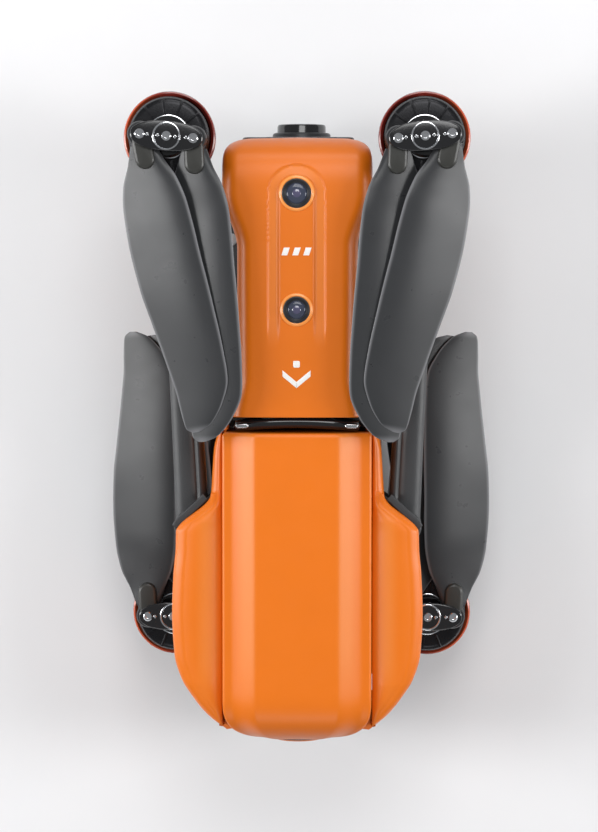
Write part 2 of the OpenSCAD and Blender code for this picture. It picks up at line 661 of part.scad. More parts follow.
module bell() color(black) {
    difference() {
        translate([0, 0, bell_lift]) cylinder(r = bell_r, h = bell_h);
        translate([0, 0, bell_lift - 1]) cylinder(r = bell_r - bell_wall, h = bell_h - bell_wall + 1);
        // openings between the spokes
        for (i = [0:5]) rotate([0, 0, i * 60]) translate([0, 0, bell_top - 3]) rotate([0, 0, -16])
            rotate_extrude(angle = 32) translate([hub_disc_r + 0.8, 0])
                square([bell_r - bell_wall - hub_disc_r - 2, 5]);
    }
    translate([0, 0, -3]) cylinder(r = shaft_r, h = bell_top + 3 - bell_wall + eps);
    // magnet ring
    difference() {
        translate([0, 0, bell_lift + 0.6]) cylinder(r = bell_r - bell_wall, h = bell_h - bell_wall - 2);
        translate([0, 0, 0]) cylinder(r = bell_r - bell_wall - magnet_t, h = 20);
    }
}

module hub() color(metal) {
    translate([0, 0, bell_top]) cylinder(r = hub_disc_r, h = hub_disc_h);
    translate([0, 0, bell_top + hub_disc_h]) capsule(pin_offset, plate_half - 0.5, plate_t);
    translate([0, 0, boss_z - boss_gap]) cylinder(r = 3.6, h = boss_h + 2 * boss_gap);
    translate([0, 0, hub_top_z - plate_t]) capsule(pin_offset, plate_half - 0.5, plate_t);
    for (s = [-1, 1]) translate([s * pin_offset, 0, boss_z - boss_gap])
        cylinder(r = blade_pin_r, h = boss_h + 2 * boss_gap);
    // screw heads
    for (x = [-pin_offset, 0, pin_offset]) translate([x, 0, hub_top_z]) cylinder(r = 2.2, h = screw_h);
}

module at_rear_motor() translate([rear_motor[0], rear_motor[1], rear_seat_z]) children();
module at_front_motor() translate([front_motor[0], front_motor[1], front_seat_z]) children();

module stator_rear_left() at_left() at_rear_motor() stator();
module stator_rear_right() at_right() at_rear_motor() stator();
module stator_front_left() at_left() at_front_motor() stator();
module stator_front_right() at_right() at_front_motor() stator();
module bell_rear_left() at_left() at_rear_motor() bell();
module bell_rear_right() at_right() at_rear_motor() bell();
module bell_front_left() at_left() at_front_motor() bell();
module bell_front_right() at_right() at_front_motor() bell();
module hub_rear_left() at_left() at_rear_motor() rotate([0, 0, -hub_turn]) hub();
module hub_rear_right() at_right() at_rear_motor() rotate([0, 0, -hub_turn]) hub();
module hub_front_left() at_left() at_front_motor() hub();
module hub_front_right() at_right() at_front_motor() hub();

// ---------------------------------------------------------------- blades

// Stations of a blade: [share of the length, half chord and its offset to the leading edge as shares of the
// widest half chord, thickness, pitch in degrees]
blade_stations = [
    [0.035, 0.34, 0, 4.4, 4], [0.095, 0.52, 0, 3.6, 12], [0.165, 0.8, 0, 2.6, 16], [0.25, 0.95, 0.01, 2.1, 18],
    [0.38, 1, 0.03, 1.6, 18], [0.5, 0.99, 0.09, 1.4, 17], [0.62, 0.93, 0.19, 1.2, 16], [0.735, 0.86, 0.28, 1, 15],
    [0.845, 0.77, 0.33, 0.85, 14], [0.92, 0.61, 0.21, 0.75, 13.5], [0.975, 0.42, 0.04, 0.65, 13.5],
    [1, 0.22, -0.1, 0.55, 13.5]];
// Points round a section: [share of the half chord, share of half the thickness]
blade_section = [[1, 0], [0.72, 0.6], [0.2, 1], [-0.5, 0.75], [-1, 0], [-0.5, -0.55], [0.2, -0.7], [0.72, -0.5]];

// A blade from its pin along +Y, with its leading edge, the higher one, towards +X
function blade_points() = [for (s = blade_stations, p = blade_section)
    let (c = (p[0] * s[1] + s[2]) * blade_chord / 2, t = p[1] * s[3] / 2)
    [c * cos(s[4]) - t * sin(s[4]), s[0] * blade_len, c * sin(s[4]) + t * cos(s[4])]];

module blade() color(dark) difference() {
    union() {
        n = len(blade_section);
        m = len(blade_stations);
        translate([0, 0, boss_z + boss_h / 2]) polyhedron(blade_points(), concat(
            [[for (j = [n - 1:-1:0]) j]],
            [for (i = [0:m - 2], j = [0:n - 1]) [(i + 1) * n + (j + 1) % n, (i + 1) * n + j, i * n + j]],
            [for (i = [0:m - 2], j = [0:n - 1]) [i * n + (j + 1) % n, (i + 1) * n + (j + 1) % n, i * n + j]],
            [[for (j = [0:n - 1]) (m - 1) * n + j]]));
        translate([0, 0, boss_z]) cylinder(r = plate_half - 0.3, h = boss_h);
    }
    translate([0, 0, boss_z - 1]) cylinder(r = blade_pin_r + run_gap, h = boss_h + 2);
}

// The stowed pair of a left motor. side is -1 for the outer blade and 1 for the inner one
module rear_blade(side) at_rear_motor() rotate([0, 0, -hub_turn]) translate([side * pin_offset, 0, 0])
    rotate([0, 0, 180 + hub_turn + rear_lean[(side + 1) / 2]]) mirror([1, 0, 0]) blade();
module front_blade(side) at_front_motor() translate([side * pin_offset, 0, 0])
    rotate([0, 0, front_lean[(side + 1) / 2]]) blade();

module blade_rear_left_outer() at_left() rear_blade(-1);
module blade_rear_left_inner() at_left() rear_blade(1);
module blade_rear_right_outer() at_right() rear_blade(-1);
module blade_rear_right_inner() at_right() rear_blade(1);
module blade_front_left_outer() at_left() front_blade(-1);
module blade_front_left_inner() at_left() front_blade(1);
module blade_front_right_outer() at_right() front_blade(-1);
module blade_front_right_inner() at_right() front_blade(1);

// ---------------------------------------------------------------- what is drawn

chassis();
lower_shell();
nose_cover();
rear_fairing_left();
rear_fairing_right();
belly_feet();
arm_pins();
case_screws();
vision_lenses();
lens_bezels();
front_sensor_bar();
seam_strip();
main_board();
esc_board();
heat_sink();
gps_antenna();
fan_housing();
fan_rotor();
battery_socket();
card_door();
gimbal_mount();
damper_balls();
gimbal_yaw_arm();
gimbal_roll_arm();
camera_body();
camera_lens();
battery_case();
battery_cells();
battery_board();
battery_button();
battery_latch_left();
battery_latch_right();
landing_leg_left();
landing_leg_right();
rear_arm_left();
rear_arm_right();
front_arm_left();
front_arm_right();
stator_rear_left();
stator_rear_right();
stator_front_left();
stator_front_right();
bell_rear_left();
bell_rear_right();
bell_front_left();
bell_front_right();
hub_rear_left();
hub_rear_right();
hub_front_left();
hub_front_right();
blade_rear_left_outer();
blade_rear_left_inner();
blade_rear_right_outer();
blade_rear_right_inner();
blade_front_left_outer();
blade_front_left_inner();
blade_front_right_outer();
blade_front_right_inner();
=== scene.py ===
"""Looks of a folding camera quadcopter in its stowed pose.

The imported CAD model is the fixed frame. Smooth shells, blades, motors and optics are worked out here as
parametric surfaces in millimetres and stand for their CAD nodes. The other CAD nodes are shown with their
edges eased. +Y is the nose, +Z is up, and the left side is at -X.
"""

from __future__ import annotations

import json
import logging
import math
from dataclasses import dataclass, field
from enum import Enum
from typing import Sequence

import bmesh
import bpy
import numpy as np
from bpy.types import Node, NodeSocket, NodeTree
from mathutils import Matrix, Vector

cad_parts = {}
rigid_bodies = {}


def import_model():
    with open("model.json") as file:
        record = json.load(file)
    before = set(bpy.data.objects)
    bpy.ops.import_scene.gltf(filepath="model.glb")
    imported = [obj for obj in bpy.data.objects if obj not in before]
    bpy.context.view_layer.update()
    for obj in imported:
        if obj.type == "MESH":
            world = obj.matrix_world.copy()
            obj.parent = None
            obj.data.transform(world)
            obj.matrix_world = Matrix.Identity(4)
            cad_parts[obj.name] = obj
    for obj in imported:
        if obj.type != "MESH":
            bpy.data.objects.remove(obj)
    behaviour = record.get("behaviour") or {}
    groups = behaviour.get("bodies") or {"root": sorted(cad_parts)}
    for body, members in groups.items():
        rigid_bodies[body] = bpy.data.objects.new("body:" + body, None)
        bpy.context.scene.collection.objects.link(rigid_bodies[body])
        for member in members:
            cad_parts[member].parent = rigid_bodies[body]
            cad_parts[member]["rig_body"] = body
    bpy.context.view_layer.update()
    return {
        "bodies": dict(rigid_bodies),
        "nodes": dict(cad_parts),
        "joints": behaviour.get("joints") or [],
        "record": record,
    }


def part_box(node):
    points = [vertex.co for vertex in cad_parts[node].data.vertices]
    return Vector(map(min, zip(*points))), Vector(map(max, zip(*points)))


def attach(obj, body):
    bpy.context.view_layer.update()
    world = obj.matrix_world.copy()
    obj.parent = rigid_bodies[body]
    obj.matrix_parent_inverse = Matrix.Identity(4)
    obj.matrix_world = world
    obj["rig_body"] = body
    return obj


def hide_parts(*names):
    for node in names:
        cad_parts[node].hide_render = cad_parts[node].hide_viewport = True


LOG = logging.getLogger("quadcopter")
Array = np.ndarray
Knots = Sequence[tuple[float, float]]
MM = 0.001
TURN = 2 * math.pi
QUARTER = math.pi / 2
MERGE_MM = 1e-3
COAT_ROUGHNESS = 0.12
CLOUD_MM, PATCH_MM = 14, 5
ROUGHNESS_DRIFT = 0.15
BUMP_MM = 0.25


class Side(Enum):
    """Side of the body, with the sign of its X."""

    LEFT = -1
    RIGHT = 1

    @property
    def word(self) -> str:
        """Name used in node and body names."""
        return self.name.lower()


class End(Enum):
    """End of the body that an arm hinges at."""

    REAR = "rear"
    FRONT = "front"


class Texture(Enum):
    """Kind of fine relief that a finish has."""

    SATIN = "satin"
    GRAIN = "grain"
    BRUSHED = "brushed"
    RIBBED = "ribbed"
    TRACKS = "tracks"
    STREAKED = "streaked"


# ---------------------------------------------------------------- finishes


@dataclass(frozen=True)
class Finish:
    """A material: its colour, its gloss and the fine relief of its surface.

    Lengths are in millimetres. The painted highlight colour is a lighter tone that stands in for light; it is mixed
    in where the mesh's attribute of painted highlight rises.
    """

    name: str
    colour: tuple[float, float, float]
    roughness: float = 0.5
    metallic: float = 0.0
    coat: float = 0.0
    texture: Texture = Texture.SATIN
    grain_mm: float = 0.6
    relief: float = 0.1
    mottle: float = 0.12
    shift: tuple[float, float, float] | None = None
    wear: tuple[float, float, float] | None = None
    specular: float = 0.5

    def material(self) -> bpy.types.Material:
        """Makes the material, or returns it if it was made before.

        Returns:
            The material of this finish.
        """
        made = bpy.data.materials.get(self.name)
        if made is not None:
            return made
        made = bpy.data.materials.new(self.name)
        made.use_nodes = True
        tree = made.node_tree
        tree.nodes.clear()
        shader = tree.nodes.new("ShaderNodeBsdfPrincipled")
        output = tree.nodes.new("ShaderNodeOutputMaterial")
        tree.links.new(shader.outputs["BSDF"], output.inputs["Surface"])
        shader.inputs["Metallic"].default_value = self.metallic
        shader.inputs["Coat Weight"].default_value = self.coat
        shader.inputs["Coat Roughness"].default_value = COAT_ROUGHNESS
        shader.inputs["Specular IOR Level"].default_value = self.specular
        place = tree.nodes.new("ShaderNodeTexCoord").outputs["Object"]
        self._colour(tree, shader, self._noise(tree, place, 1 / (CLOUD_MM * MM), 3.0))
        self._gloss(tree, shader, place)
        height = self._height(tree, place)
        bump = tree.nodes.new("ShaderNodeBump")
        bump.inputs["Strength"].default_value = self.relief
        bump.inputs["Distance"].default_value = BUMP_MM * MM
        tree.links.new(height, bump.inputs["Height"])
        tree.links.new(bump.outputs["Normal"], shader.inputs["Normal"])
        return made

    def _noise(self, tree: NodeTree, place: NodeSocket, scale: float, detail: float) -> NodeSocket:
        """Adds a noise texture.

        Args:
            tree: node tree of the material.
            place: socket of the coordinates.
            scale: waves a metre.
            detail: octaves of the noise.

        Returns:
            The socket of its value.
        """
        noise = tree.nodes.new("ShaderNodeTexNoise")
        noise.inputs["Scale"].default_value = scale
        noise.inputs["Detail"].default_value = detail
        tree.links.new(place, noise.inputs["Vector"])
        return noise.outputs["Fac"]

    def _colour(self, tree: NodeTree, shader: Node, cloud: NodeSocket) -> None:
        """Colours the shader: the base colour drifts with a slow cloud, and the lighter colour of painted highlights
        is mixed over it.

        Args:
            tree: node tree of the material.
            shader: node that gets the colour.
            cloud: socket of the slow noise.
        """
        ramp = tree.nodes.new("ShaderNodeMix")
        ramp.data_type = "RGBA"
        low = [c * (1 - self.mottle) for c in self.colour]
        high = self.shift or [min(1.0, c * (1 + self.mottle)) for c in self.colour]
        ramp.inputs["A"].default_value = (*low, 1)
        ramp.inputs["B"].default_value = (*high, 1)
        tree.links.new(cloud, ramp.inputs["Factor"])
        colour = ramp.outputs["Result"]
        # Mixes in a lighter tone, a painted highlight, where the mesh asks for it.
        if self.wear is not None:
            painted_highlight_mask = tree.nodes.new("ShaderNodeAttribute")
            painted_highlight_mask.attribute_name = "wear"
            over = tree.nodes.new("ShaderNodeMix")
            over.data_type = "RGBA"
            over.inputs["B"].default_value = (*self.wear, 1)
            tree.links.new(painted_highlight_mask.outputs["Fac"], over.inputs["Factor"])
            tree.links.new(colour, over.inputs["A"])
            colour = over.outputs["Result"]
        tree.links.new(colour, shader.inputs["Base Color"])

    def _gloss(self, tree: NodeTree, shader: Node, place: NodeSocket) -> None:
        """Lets the roughness drift in small patches round its value.

        Args:
            tree: node tree of the material.
            shader: node that gets the roughness.
            place: socket of the coordinates.
        """
        patch = self._noise(tree, place, 1 / (PATCH_MM * MM), 4.0)
        span = tree.nodes.new("ShaderNodeMapRange")
        span.inputs["To Min"].default_value = max(0.02, self.roughness * (1 - ROUGHNESS_DRIFT))
        span.inputs["To Max"].default_value = min(1.0, self.roughness * (1 + ROUGHNESS_DRIFT))
        tree.links.new(patch, span.inputs["Value"])
        tree.links.new(span.outputs["Result"], shader.inputs["Roughness"])

    def _height(self, tree: NodeTree, place: NodeSocket) -> NodeSocket:
        """Adds the fine relief of this finish.

        Args:
            tree: node tree of the material.
            place: socket of the coordinates.

        Returns:
            The socket of its height.
        """
        stretch = {
            Texture.BRUSHED: (1, 1, 14),
            Texture.STREAKED: (6, 0.5, 6),
        }.get(self.texture, (1, 1, 1))
        mapping = tree.nodes.new("ShaderNodeMapping")
        mapping.inputs["Scale"].default_value = stretch
        tree.links.new(place, mapping.inputs["Vector"])
        place = mapping.outputs["Vector"]
        if self.texture is Texture.RIBBED:
            wave = tree.nodes.new("ShaderNodeTexWave")
            wave.bands_direction = "Z"
            wave.inputs["Scale"].default_value = 0.05 / (self.grain_mm * MM) * TURN
            tree.links.new(place, wave.inputs["Vector"])
            return wave.outputs["Fac"]
        if self.texture is Texture.TRACKS:
            brick = tree.nodes.new("ShaderNodeTexBrick")
            brick.inputs["Scale"].default_value = 1 / (self.grain_mm * 6 * MM)
            brick.inputs["Mortar Size"].default_value = 0.03
            tree.links.new(place, brick.inputs["Vector"])
            return brick.outputs["Fac"]
        if self.texture is Texture.GRAIN:
            cells = tree.nodes.new("ShaderNodeTexVoronoi")
            cells.feature = "SMOOTH_F1"
            cells.inputs["Scale"].default_value = 1 / (self.grain_mm * MM)
            tree.links.new(place, cells.inputs["Vector"])
            return cells.outputs["Distance"]
        return self._noise(tree, place, 1 / (self.grain_mm * MM), 3.0)


# A finish's second, lighter colour is for painted highlights: light painted into the colour.
ORANGE = Finish("shell_orange", (0.69, 0.152, 0.005), 0.38, texture=Texture.GRAIN, grain_mm=0.5,
                relief=0.035, mottle=0.03, wear=(0.74, 0.25, 0.055), specular=0.40)
ORANGE_SOFT = Finish("button_orange", (0.74, 0.18, 0.02), 0.5, texture=Texture.GRAIN, grain_mm=0.45, relief=0.2,
                     mottle=0.05)
RIM_ORANGE = Finish("rim_orange", (0.88, 0.30, 0.06), 0.3, coat=0.2, relief=0.02, mottle=0.03)
POD_RED = Finish("pod_ring_red", (0.17, 0.018, 0.014), 0.26, coat=0.4, relief=0.03, mottle=0.1,
                 shift=(0.26, 0.030, 0.020), wear=(0.52, 0.085, 0.030))
ARM_GREY = Finish("arm_grey", (0.034, 0.035, 0.037), 0.44, texture=Texture.GRAIN, grain_mm=0.4, relief=0.16,
                  wear=(0.16, 0.16, 0.165))
BELLY_GREY = Finish("belly_grey", (0.030, 0.031, 0.033), 0.5, texture=Texture.GRAIN, grain_mm=0.45, relief=0.2)
BLADE_GREY = Finish("blade_grey", (0.030, 0.031, 0.033), 0.29, texture=Texture.STREAKED, grain_mm=0.7, relief=0.03,
                    mottle=0.08, wear=(0.20, 0.20, 0.21), specular=0.33)
ROOT_DARK = Finish("root_olive", (0.026, 0.026, 0.023), 0.36, texture=Texture.GRAIN, grain_mm=0.4, relief=0.05)
BLACK = Finish("moulded_black", (0.018, 0.018, 0.020), 0.45, texture=Texture.GRAIN, grain_mm=0.4, relief=0.12)
GLOSS_BLACK = Finish("gloss_black", (0.008, 0.008, 0.009), 0.13, coat=0.6, relief=0.02)
BELL_BLACK = Finish("bell_black", (0.014, 0.014, 0.016), 0.27, metallic=0.6, texture=Texture.BRUSHED, grain_mm=0.3,
                    relief=0.08)
RUBBER = Finish("rubber_black", (0.020, 0.020, 0.021), 0.72, texture=Texture.GRAIN, grain_mm=0.3, relief=0.3)
STEEL = Finish("steel", (0.60, 0.61, 0.63), 0.24, metallic=1.0, texture=Texture.BRUSHED, grain_mm=0.25, relief=0.06)
CHROME = Finish("bright_steel", (0.83, 0.84, 0.86), 0.12, metallic=1.0, relief=0.02, mottle=0.04)
ALLOY = Finish("anodised_grey", (0.026, 0.027, 0.029), 0.36, metallic=0.4, texture=Texture.BRUSHED, grain_mm=0.3,
               relief=0.07)
BARE_ALLOY = Finish("bare_alloy", (0.70, 0.71, 0.73), 0.32, metallic=1.0, texture=Texture.BRUSHED, grain_mm=0.4,
                    relief=0.1)
COPPER = Finish("enamelled_copper", (0.62, 0.26, 0.09), 0.32, metallic=0.9, texture=Texture.RIBBED, grain_mm=0.35,
                relief=0.5)
GREEN_BOARD = Finish("solder_mask", (0.012, 0.11, 0.045), 0.34, coat=0.2, texture=Texture.TRACKS, grain_mm=0.8,
                     relief=0.25, mottle=0.25)
CERAMIC = Finish("fired_ceramic", (0.60, 0.54, 0.42), 0.6, texture=Texture.GRAIN, grain_mm=0.5, relief=0.15)
FOIL = Finish("cell_foil", (0.55, 0.57, 0.60), 0.35, metallic=0.8, relief=0.2, grain_mm=3.0)
WHITE = Finish("mark_white", (0.82, 0.80, 0.77), 0.45, relief=0.05, mottle=0.03)
LENS_BLACK = Finish("lens_glass", (0.010, 0.012, 0.018), 0.05, coat=1.0, relief=0.0, mottle=0.3, specular=0.8)
LENS_BLUE = Finish("lens_coating", (0.055, 0.068, 0.115), 0.08, coat=1.0, relief=0.0, mottle=0.4,
                   shift=(0.12, 0.10, 0.20), specular=0.8)


# ---------------------------------------------------------------- surfaces


def smooth(low: float, high: float, x: Array) -> Array:
    """Rises from 0 at low to 1 at high as 3t^2 - 2t^3, where t is the share of the way."""
    t = np.clip((np.asarray(x, float) - low) / (high - low), 0.0, 1.0)
    return t * t * (3 - 2 * t)


def shoulder(t: Array, power: float) -> Array:
    """Superellipse quarter: (1 - t^power)^(1/power), which falls from 1 at t = 0 to 0 at t = 1."""
    return (1 - np.clip(t, 0.0, 1.0) ** power) ** (1 / power)


def through(knots: Knots, x: Array) -> Array:
    """Passes a smooth curve through knots, with no overshoot.

    Each span is a cubic whose end slopes are the harmonic mean of the neighbouring chords, or 0 at a peak.

    Args:
        knots: (x, value) pairs with rising x.
        x: places to read the curve at.

    Returns:
        The curve's values at x.
    """
    kx, ky = np.array(knots, float).T
    h, chord = np.diff(kx), np.diff(ky) / np.diff(kx)
    slope = np.concatenate([[chord[0]], np.zeros(len(kx) - 2), [chord[-1]]])
    same = chord[:-1] * chord[1:] > 0
    slope[1:-1][same] = 2 * chord[:-1][same] * chord[1:][same] / (chord[:-1] + chord[1:])[same]
    x = np.clip(np.asarray(x, float), kx[0], kx[-1])
    i = np.clip(np.searchsorted(kx, x, side="right") - 1, 0, len(kx) - 2)
    t = (x - kx[i]) / h[i]
    return (ky[i] * (1 + 2 * t) * (1 - t) ** 2 + h[i] * slope[i] * t * (1 - t) ** 2
            + ky[i + 1] * t * t * (3 - 2 * t) + h[i] * slope[i + 1] * t * t * (t - 1))


def spaced(low: float, high: float, count: int, ends: float = 0.0) -> Array:
    """Evenly spaced values, drawn towards both ends by the share ends as a cosine."""
    t = np.linspace(0, 1, count)
    return low + (high - low) * ((1 - ends) * t + ends * (1 - np.cos(math.pi * t)) / 2)


def turned(points: Array, degrees: float) -> Array:
    """Turns points about Z, anticlockwise seen from above."""
    a = math.radians(degrees)
    x, y, z = np.moveaxis(points, -1, 0)
    return np.stack([x * math.cos(a) - y * math.sin(a), x * math.sin(a) + y * math.cos(a), z], -1)


def capped(rows: Array) -> Array:
    """Closes a grid at both ends: adds a first and a last row that lie at the middle of the rows beside them."""
    middle = np.repeat(rows.mean(1, keepdims=True), rows.shape[1], 1)
    return np.concatenate([middle[:1], rows, middle[-1:]], 0)


def superellipse(a: Array, power: float) -> tuple[Array, Array]:
    """Unit superellipse: sign(cos a) |cos a|^(2/power), and the same with sin."""
    return tuple(np.sign(f) * np.abs(f) ** (2 / power) for f in (np.cos(a), np.sin(a)))


class Axis(Enum):
    """Direction that a turned or stacked shape stands along."""

    UP = "z"
    DOWN = "-z"
    NOSE = "y"
    TAIL = "-y"
    RIGHT = "x"
    LEFT = "-x"


def stood(points: Array, axis: Axis, centre: Sequence[float]) -> Array:
    """Stands a shape that was drawn along +Z along another axis, then moves it to centre.

    Each choice is a pure turn, so faces keep pointing outwards.

    Args:
        points: points of the shape as drawn.
        axis: where +Z goes.
        centre: where the origin goes.

    Returns:
        The points in their place.
    """
    x, y, z = np.moveaxis(points, -1, 0)
    out = {
        Axis.UP: (x, y, z),
        Axis.DOWN: (x, -y, -z),
        Axis.NOSE: (x, z, -y),
        Axis.TAIL: (x, -z, y),
        Axis.RIGHT: (z, y, -x),
        Axis.LEFT: (-z, y, x),
    }[axis]
    return np.stack(out, -1) + np.asarray(centre, float)


class Surface:
    """Grows one mesh out of grids of points, in millimetres."""

    def __init__(self) -> None:
        """Starts with no points."""
        self.points: list[Array] = []
        self.faces: list[Array] = []
        self.wear: list[Array] = []
        self.count = 0

    def grid(self, points: Array, wrap: bool = False, wear: Array | float = 0.0) -> Surface:
        """Adds a grid of rows x columns points as quads (i, j), (i, j+1), (i+1, j+1), (i+1, j).

        Args:
            points: array of shape (rows, columns, 3).
            wrap: whether the last column joins the first.
            wear: share of painted highlight, a lighter tone that stands in for light, 0 to 1 for each point, or one
                value for all.

        Returns:
            This surface.
        """
        rows, columns = points.shape[:2]
        index = np.arange(rows * columns).reshape(rows, columns) + self.count
        after = np.roll(index, -1, axis=1)
        corners = [index[:-1], after[:-1], after[1:], index[1:]]
        if not wrap:
            corners = [c[:, :-1] for c in corners]
        self.faces.append(np.stack(corners, -1).reshape(-1, 4))
        self.points.append(points.reshape(-1, 3))
        self.wear.append(np.broadcast_to(np.asarray(wear, float), (rows, columns)).reshape(-1))
        self.count += rows * columns
        return self

    def lathe(self, profile: Knots, centre: Sequence[float], axis: Axis = Axis.UP, steps: int = 64,
              lit_from: float | None = None) -> Surface:
        """Turns a profile about an axis: a point at (r, z) goes to (r cos a, r sin a, z) for a round the circle.

        Args:
            profile: (radius, height) pairs, going up the outside.
            centre: where the axis starts.
            axis: which way the axis points.
            steps: points round the circle.
            lit_from: direction in degrees in which the painted highlight is full, or None for no painted highlight.
        """
        r, z = np.array(profile, float).T
        a = np.linspace(0, TURN, steps, endpoint=False)
        points = np.stack([np.outer(r, np.cos(a)), np.outer(r, np.sin(a)), np.repeat(z[:, None], steps, 1)], -1)
        # Round the ring, the side that faces lit_from is painted lighter: a painted highlight.
        wear = 0.0 if lit_from is None else smooth(-0.1, 0.8, np.cos(a - math.radians(lit_from)))[None]
        return self.grid(stood(points, axis, centre), wrap=True, wear=wear)

    def slab(self, outline: Array, low: float, high: float, ease: float, centre: Sequence[float] = (0, 0, 0),
             axis: Axis = Axis.UP) -> Surface:
        """Stacks inset copies of a convex outline: flat faces, straight sides and edges eased by a quarter circle.

        Args:
            outline: (n, 2) points, anticlockwise.
            low: height of the bottom face.
            high: height of the top face.
            ease: radius of the eased edges.
            centre: where the outline's origin goes.
            axis: which way the stack rises.
        """
        a = np.linspace(0, QUARTER, 5)
        inset = np.concatenate([[1e3], ease * (1 - np.sin(a)), ease * (1 - np.cos(a)), [1e3]])
        z = np.concatenate([[low], low + ease * (1 - np.cos(a)), high - ease * (1 - np.sin(a)), [high]])
        edge = np.roll(outline, -1, 0) - np.roll(outline, 1, 0)
        normal = np.stack([edge[:, 1], -edge[:, 0]], -1) / np.linalg.norm(edge, axis=1)[:, None]
        middle = outline.mean(0)
        rings = [middle + 0 * outline if d > 1e2 else outline - normal * d for d in inset]
        points = np.stack([np.column_stack([ring, np.full(len(ring), h)]) for ring, h in zip(rings, z)])
        return self.grid(stood(points, axis, centre), wrap=True)

    def mirrored(self) -> Surface:
        """Flips the surface from the left side to the right, with its faces still pointing outwards."""
        self.points = [p * (-1, 1, 1) for p in self.points]
        self.faces = [f[:, ::-1] for f in self.faces]
        return self

    def on(self, side: Side) -> Surface:
        """Returns the surface, drawn for the left, on the given side."""
        return self.mirrored() if side is Side.RIGHT else self

    def build(self, name: str, finish: Finish, body: str, slot: str, stands_for: Sequence[str] = (),
              wall: float = 0.0, crease: float = 38.0) -> bpy.types.Object:
        """Makes the piece, closes its poles and seams, and rides it on its CAD body.

        Args:
            name: name of the piece.
            finish: its finish.
            body: CAD body that it moves with.
            slot: material slot of the record; not used.
            stands_for: CAD nodes that it replaces.
            wall: thickness of an open shell's wall, in millimetres, or 0 for a closed piece.
            crease: angle in degrees past which an edge stays sharp.

        Returns:
            The new object.
        """
        mesh = bpy.data.meshes.new(name)
        mesh.from_pydata(np.concatenate(self.points) * MM, [], np.concatenate(self.faces).tolist())
        # Stores on each point its share of painted highlight, a lighter tone painted in for light.
        layer = mesh.attributes.new("wear", "FLOAT", "POINT")
        layer.data.foreach_set("value", np.concatenate(self.wear).astype(np.float32))
        made = bmesh.new()
        made.from_mesh(mesh)
        bmesh.ops.remove_doubles(made, verts=made.verts, dist=MERGE_MM * MM)
        bmesh.ops.dissolve_degenerate(made, edges=made.edges, dist=MERGE_MM * MM)
        if not wall:
            bmesh.ops.recalc_face_normals(made, faces=made.faces)
        made.to_mesh(mesh)
        made.free()
        mesh.shade_smooth()
        mesh.set_sharp_from_angle(angle=math.radians(crease))
        piece = bpy.data.objects.new(name, mesh)
        bpy.context.scene.collection.objects.link(piece)
        piece.data.materials.append(finish.material())
        if wall:
            solid = piece.modifiers.new("wall", "SOLIDIFY")
            solid.thickness = wall * MM
            solid.offset = -1
        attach(piece, body)
        if stands_for:
            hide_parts(*stands_for)
        LOG.info("%s: %d points on %s", name, len(mesh.vertices), body)
        return piece


def capsule(half_length: float, radius: float, steps: int = 32) -> Array:
    """Outline of a bar with round ends along X, anticlockwise."""
    a = np.linspace(-QUARTER, QUARTER, steps // 2)
    right = np.stack([half_length + radius * np.cos(a), radius * np.sin(a)], -1)
    return np.concatenate([right, -right])


def round_box(half_x: float, half_y: float, radius: float, steps: int = 8) -> Array:
    """Outline of a rectangle with round corners, anticlockwise.

    Args:
        half_x: half its length along X.
        half_y: half its length along Y.
        radius: radius of the corners.
        steps: points round a corner.
    """
    a = np.linspace(0, QUARTER, steps)
    corner = np.stack([half_x - radius + radius * np.cos(a), half_y - radius + radius * np.sin(a)], -1)
    return np.concatenate([corner, (corner * (-1, 1))[::-1], -corner, (corner * (1, -1))[::-1]])


def eased(radius: float, low: float, high: float, ease: float, steps: int = 5) -> list[tuple[float, float]]:
    """Profile of a solid disc with eased edges, from the axis underneath to the axis on top.

    Args:
        radius: radius of the disc.
        low: height of its bottom.
        high: height of its top.
        ease: radius of the eased edges.
        steps: points round an edge.
    """
    a = np.linspace(0, QUARTER, steps)
    under = [(radius - ease * (1 - math.sin(t)), low + ease * (1 - math.cos(t))) for t in a]
    over = [(radius - ease * (1 - math.cos(t)), high - ease * (1 - math.sin(t))) for t in a]
    return [(0, low), *under, *over, (0, high)]


def ring(inner: float, outer: float, low: float, high: float, ease: float = 0.3) -> list[tuple[float, float]]:
    """Closed profile of a ring with eased edges.

    Args:
        inner: inner radius.
        outer: outer radius.
        low: height of its bottom.
        high: height of its top.
        ease: width of the eased edges.
    """
    return [(inner, low + ease), (inner + ease, low), (outer - ease, low), (outer, low + ease), (outer, high - ease),
            (outer - ease * 0.3, high - ease * 0.3), (outer - ease, high), (inner + ease, high),
            (inner, high - ease), (inner, low + ease)]


def dome(radius: float, low: float, rise: float, steps: int) -> list[tuple[float, float]]:
    """Profile of a shallow half ellipsoid, from its rim at height low to the axis at low + rise."""
    return [(radius * t, low + rise * math.sqrt(1 - t * t)) for t in np.linspace(1, 0, steps)]


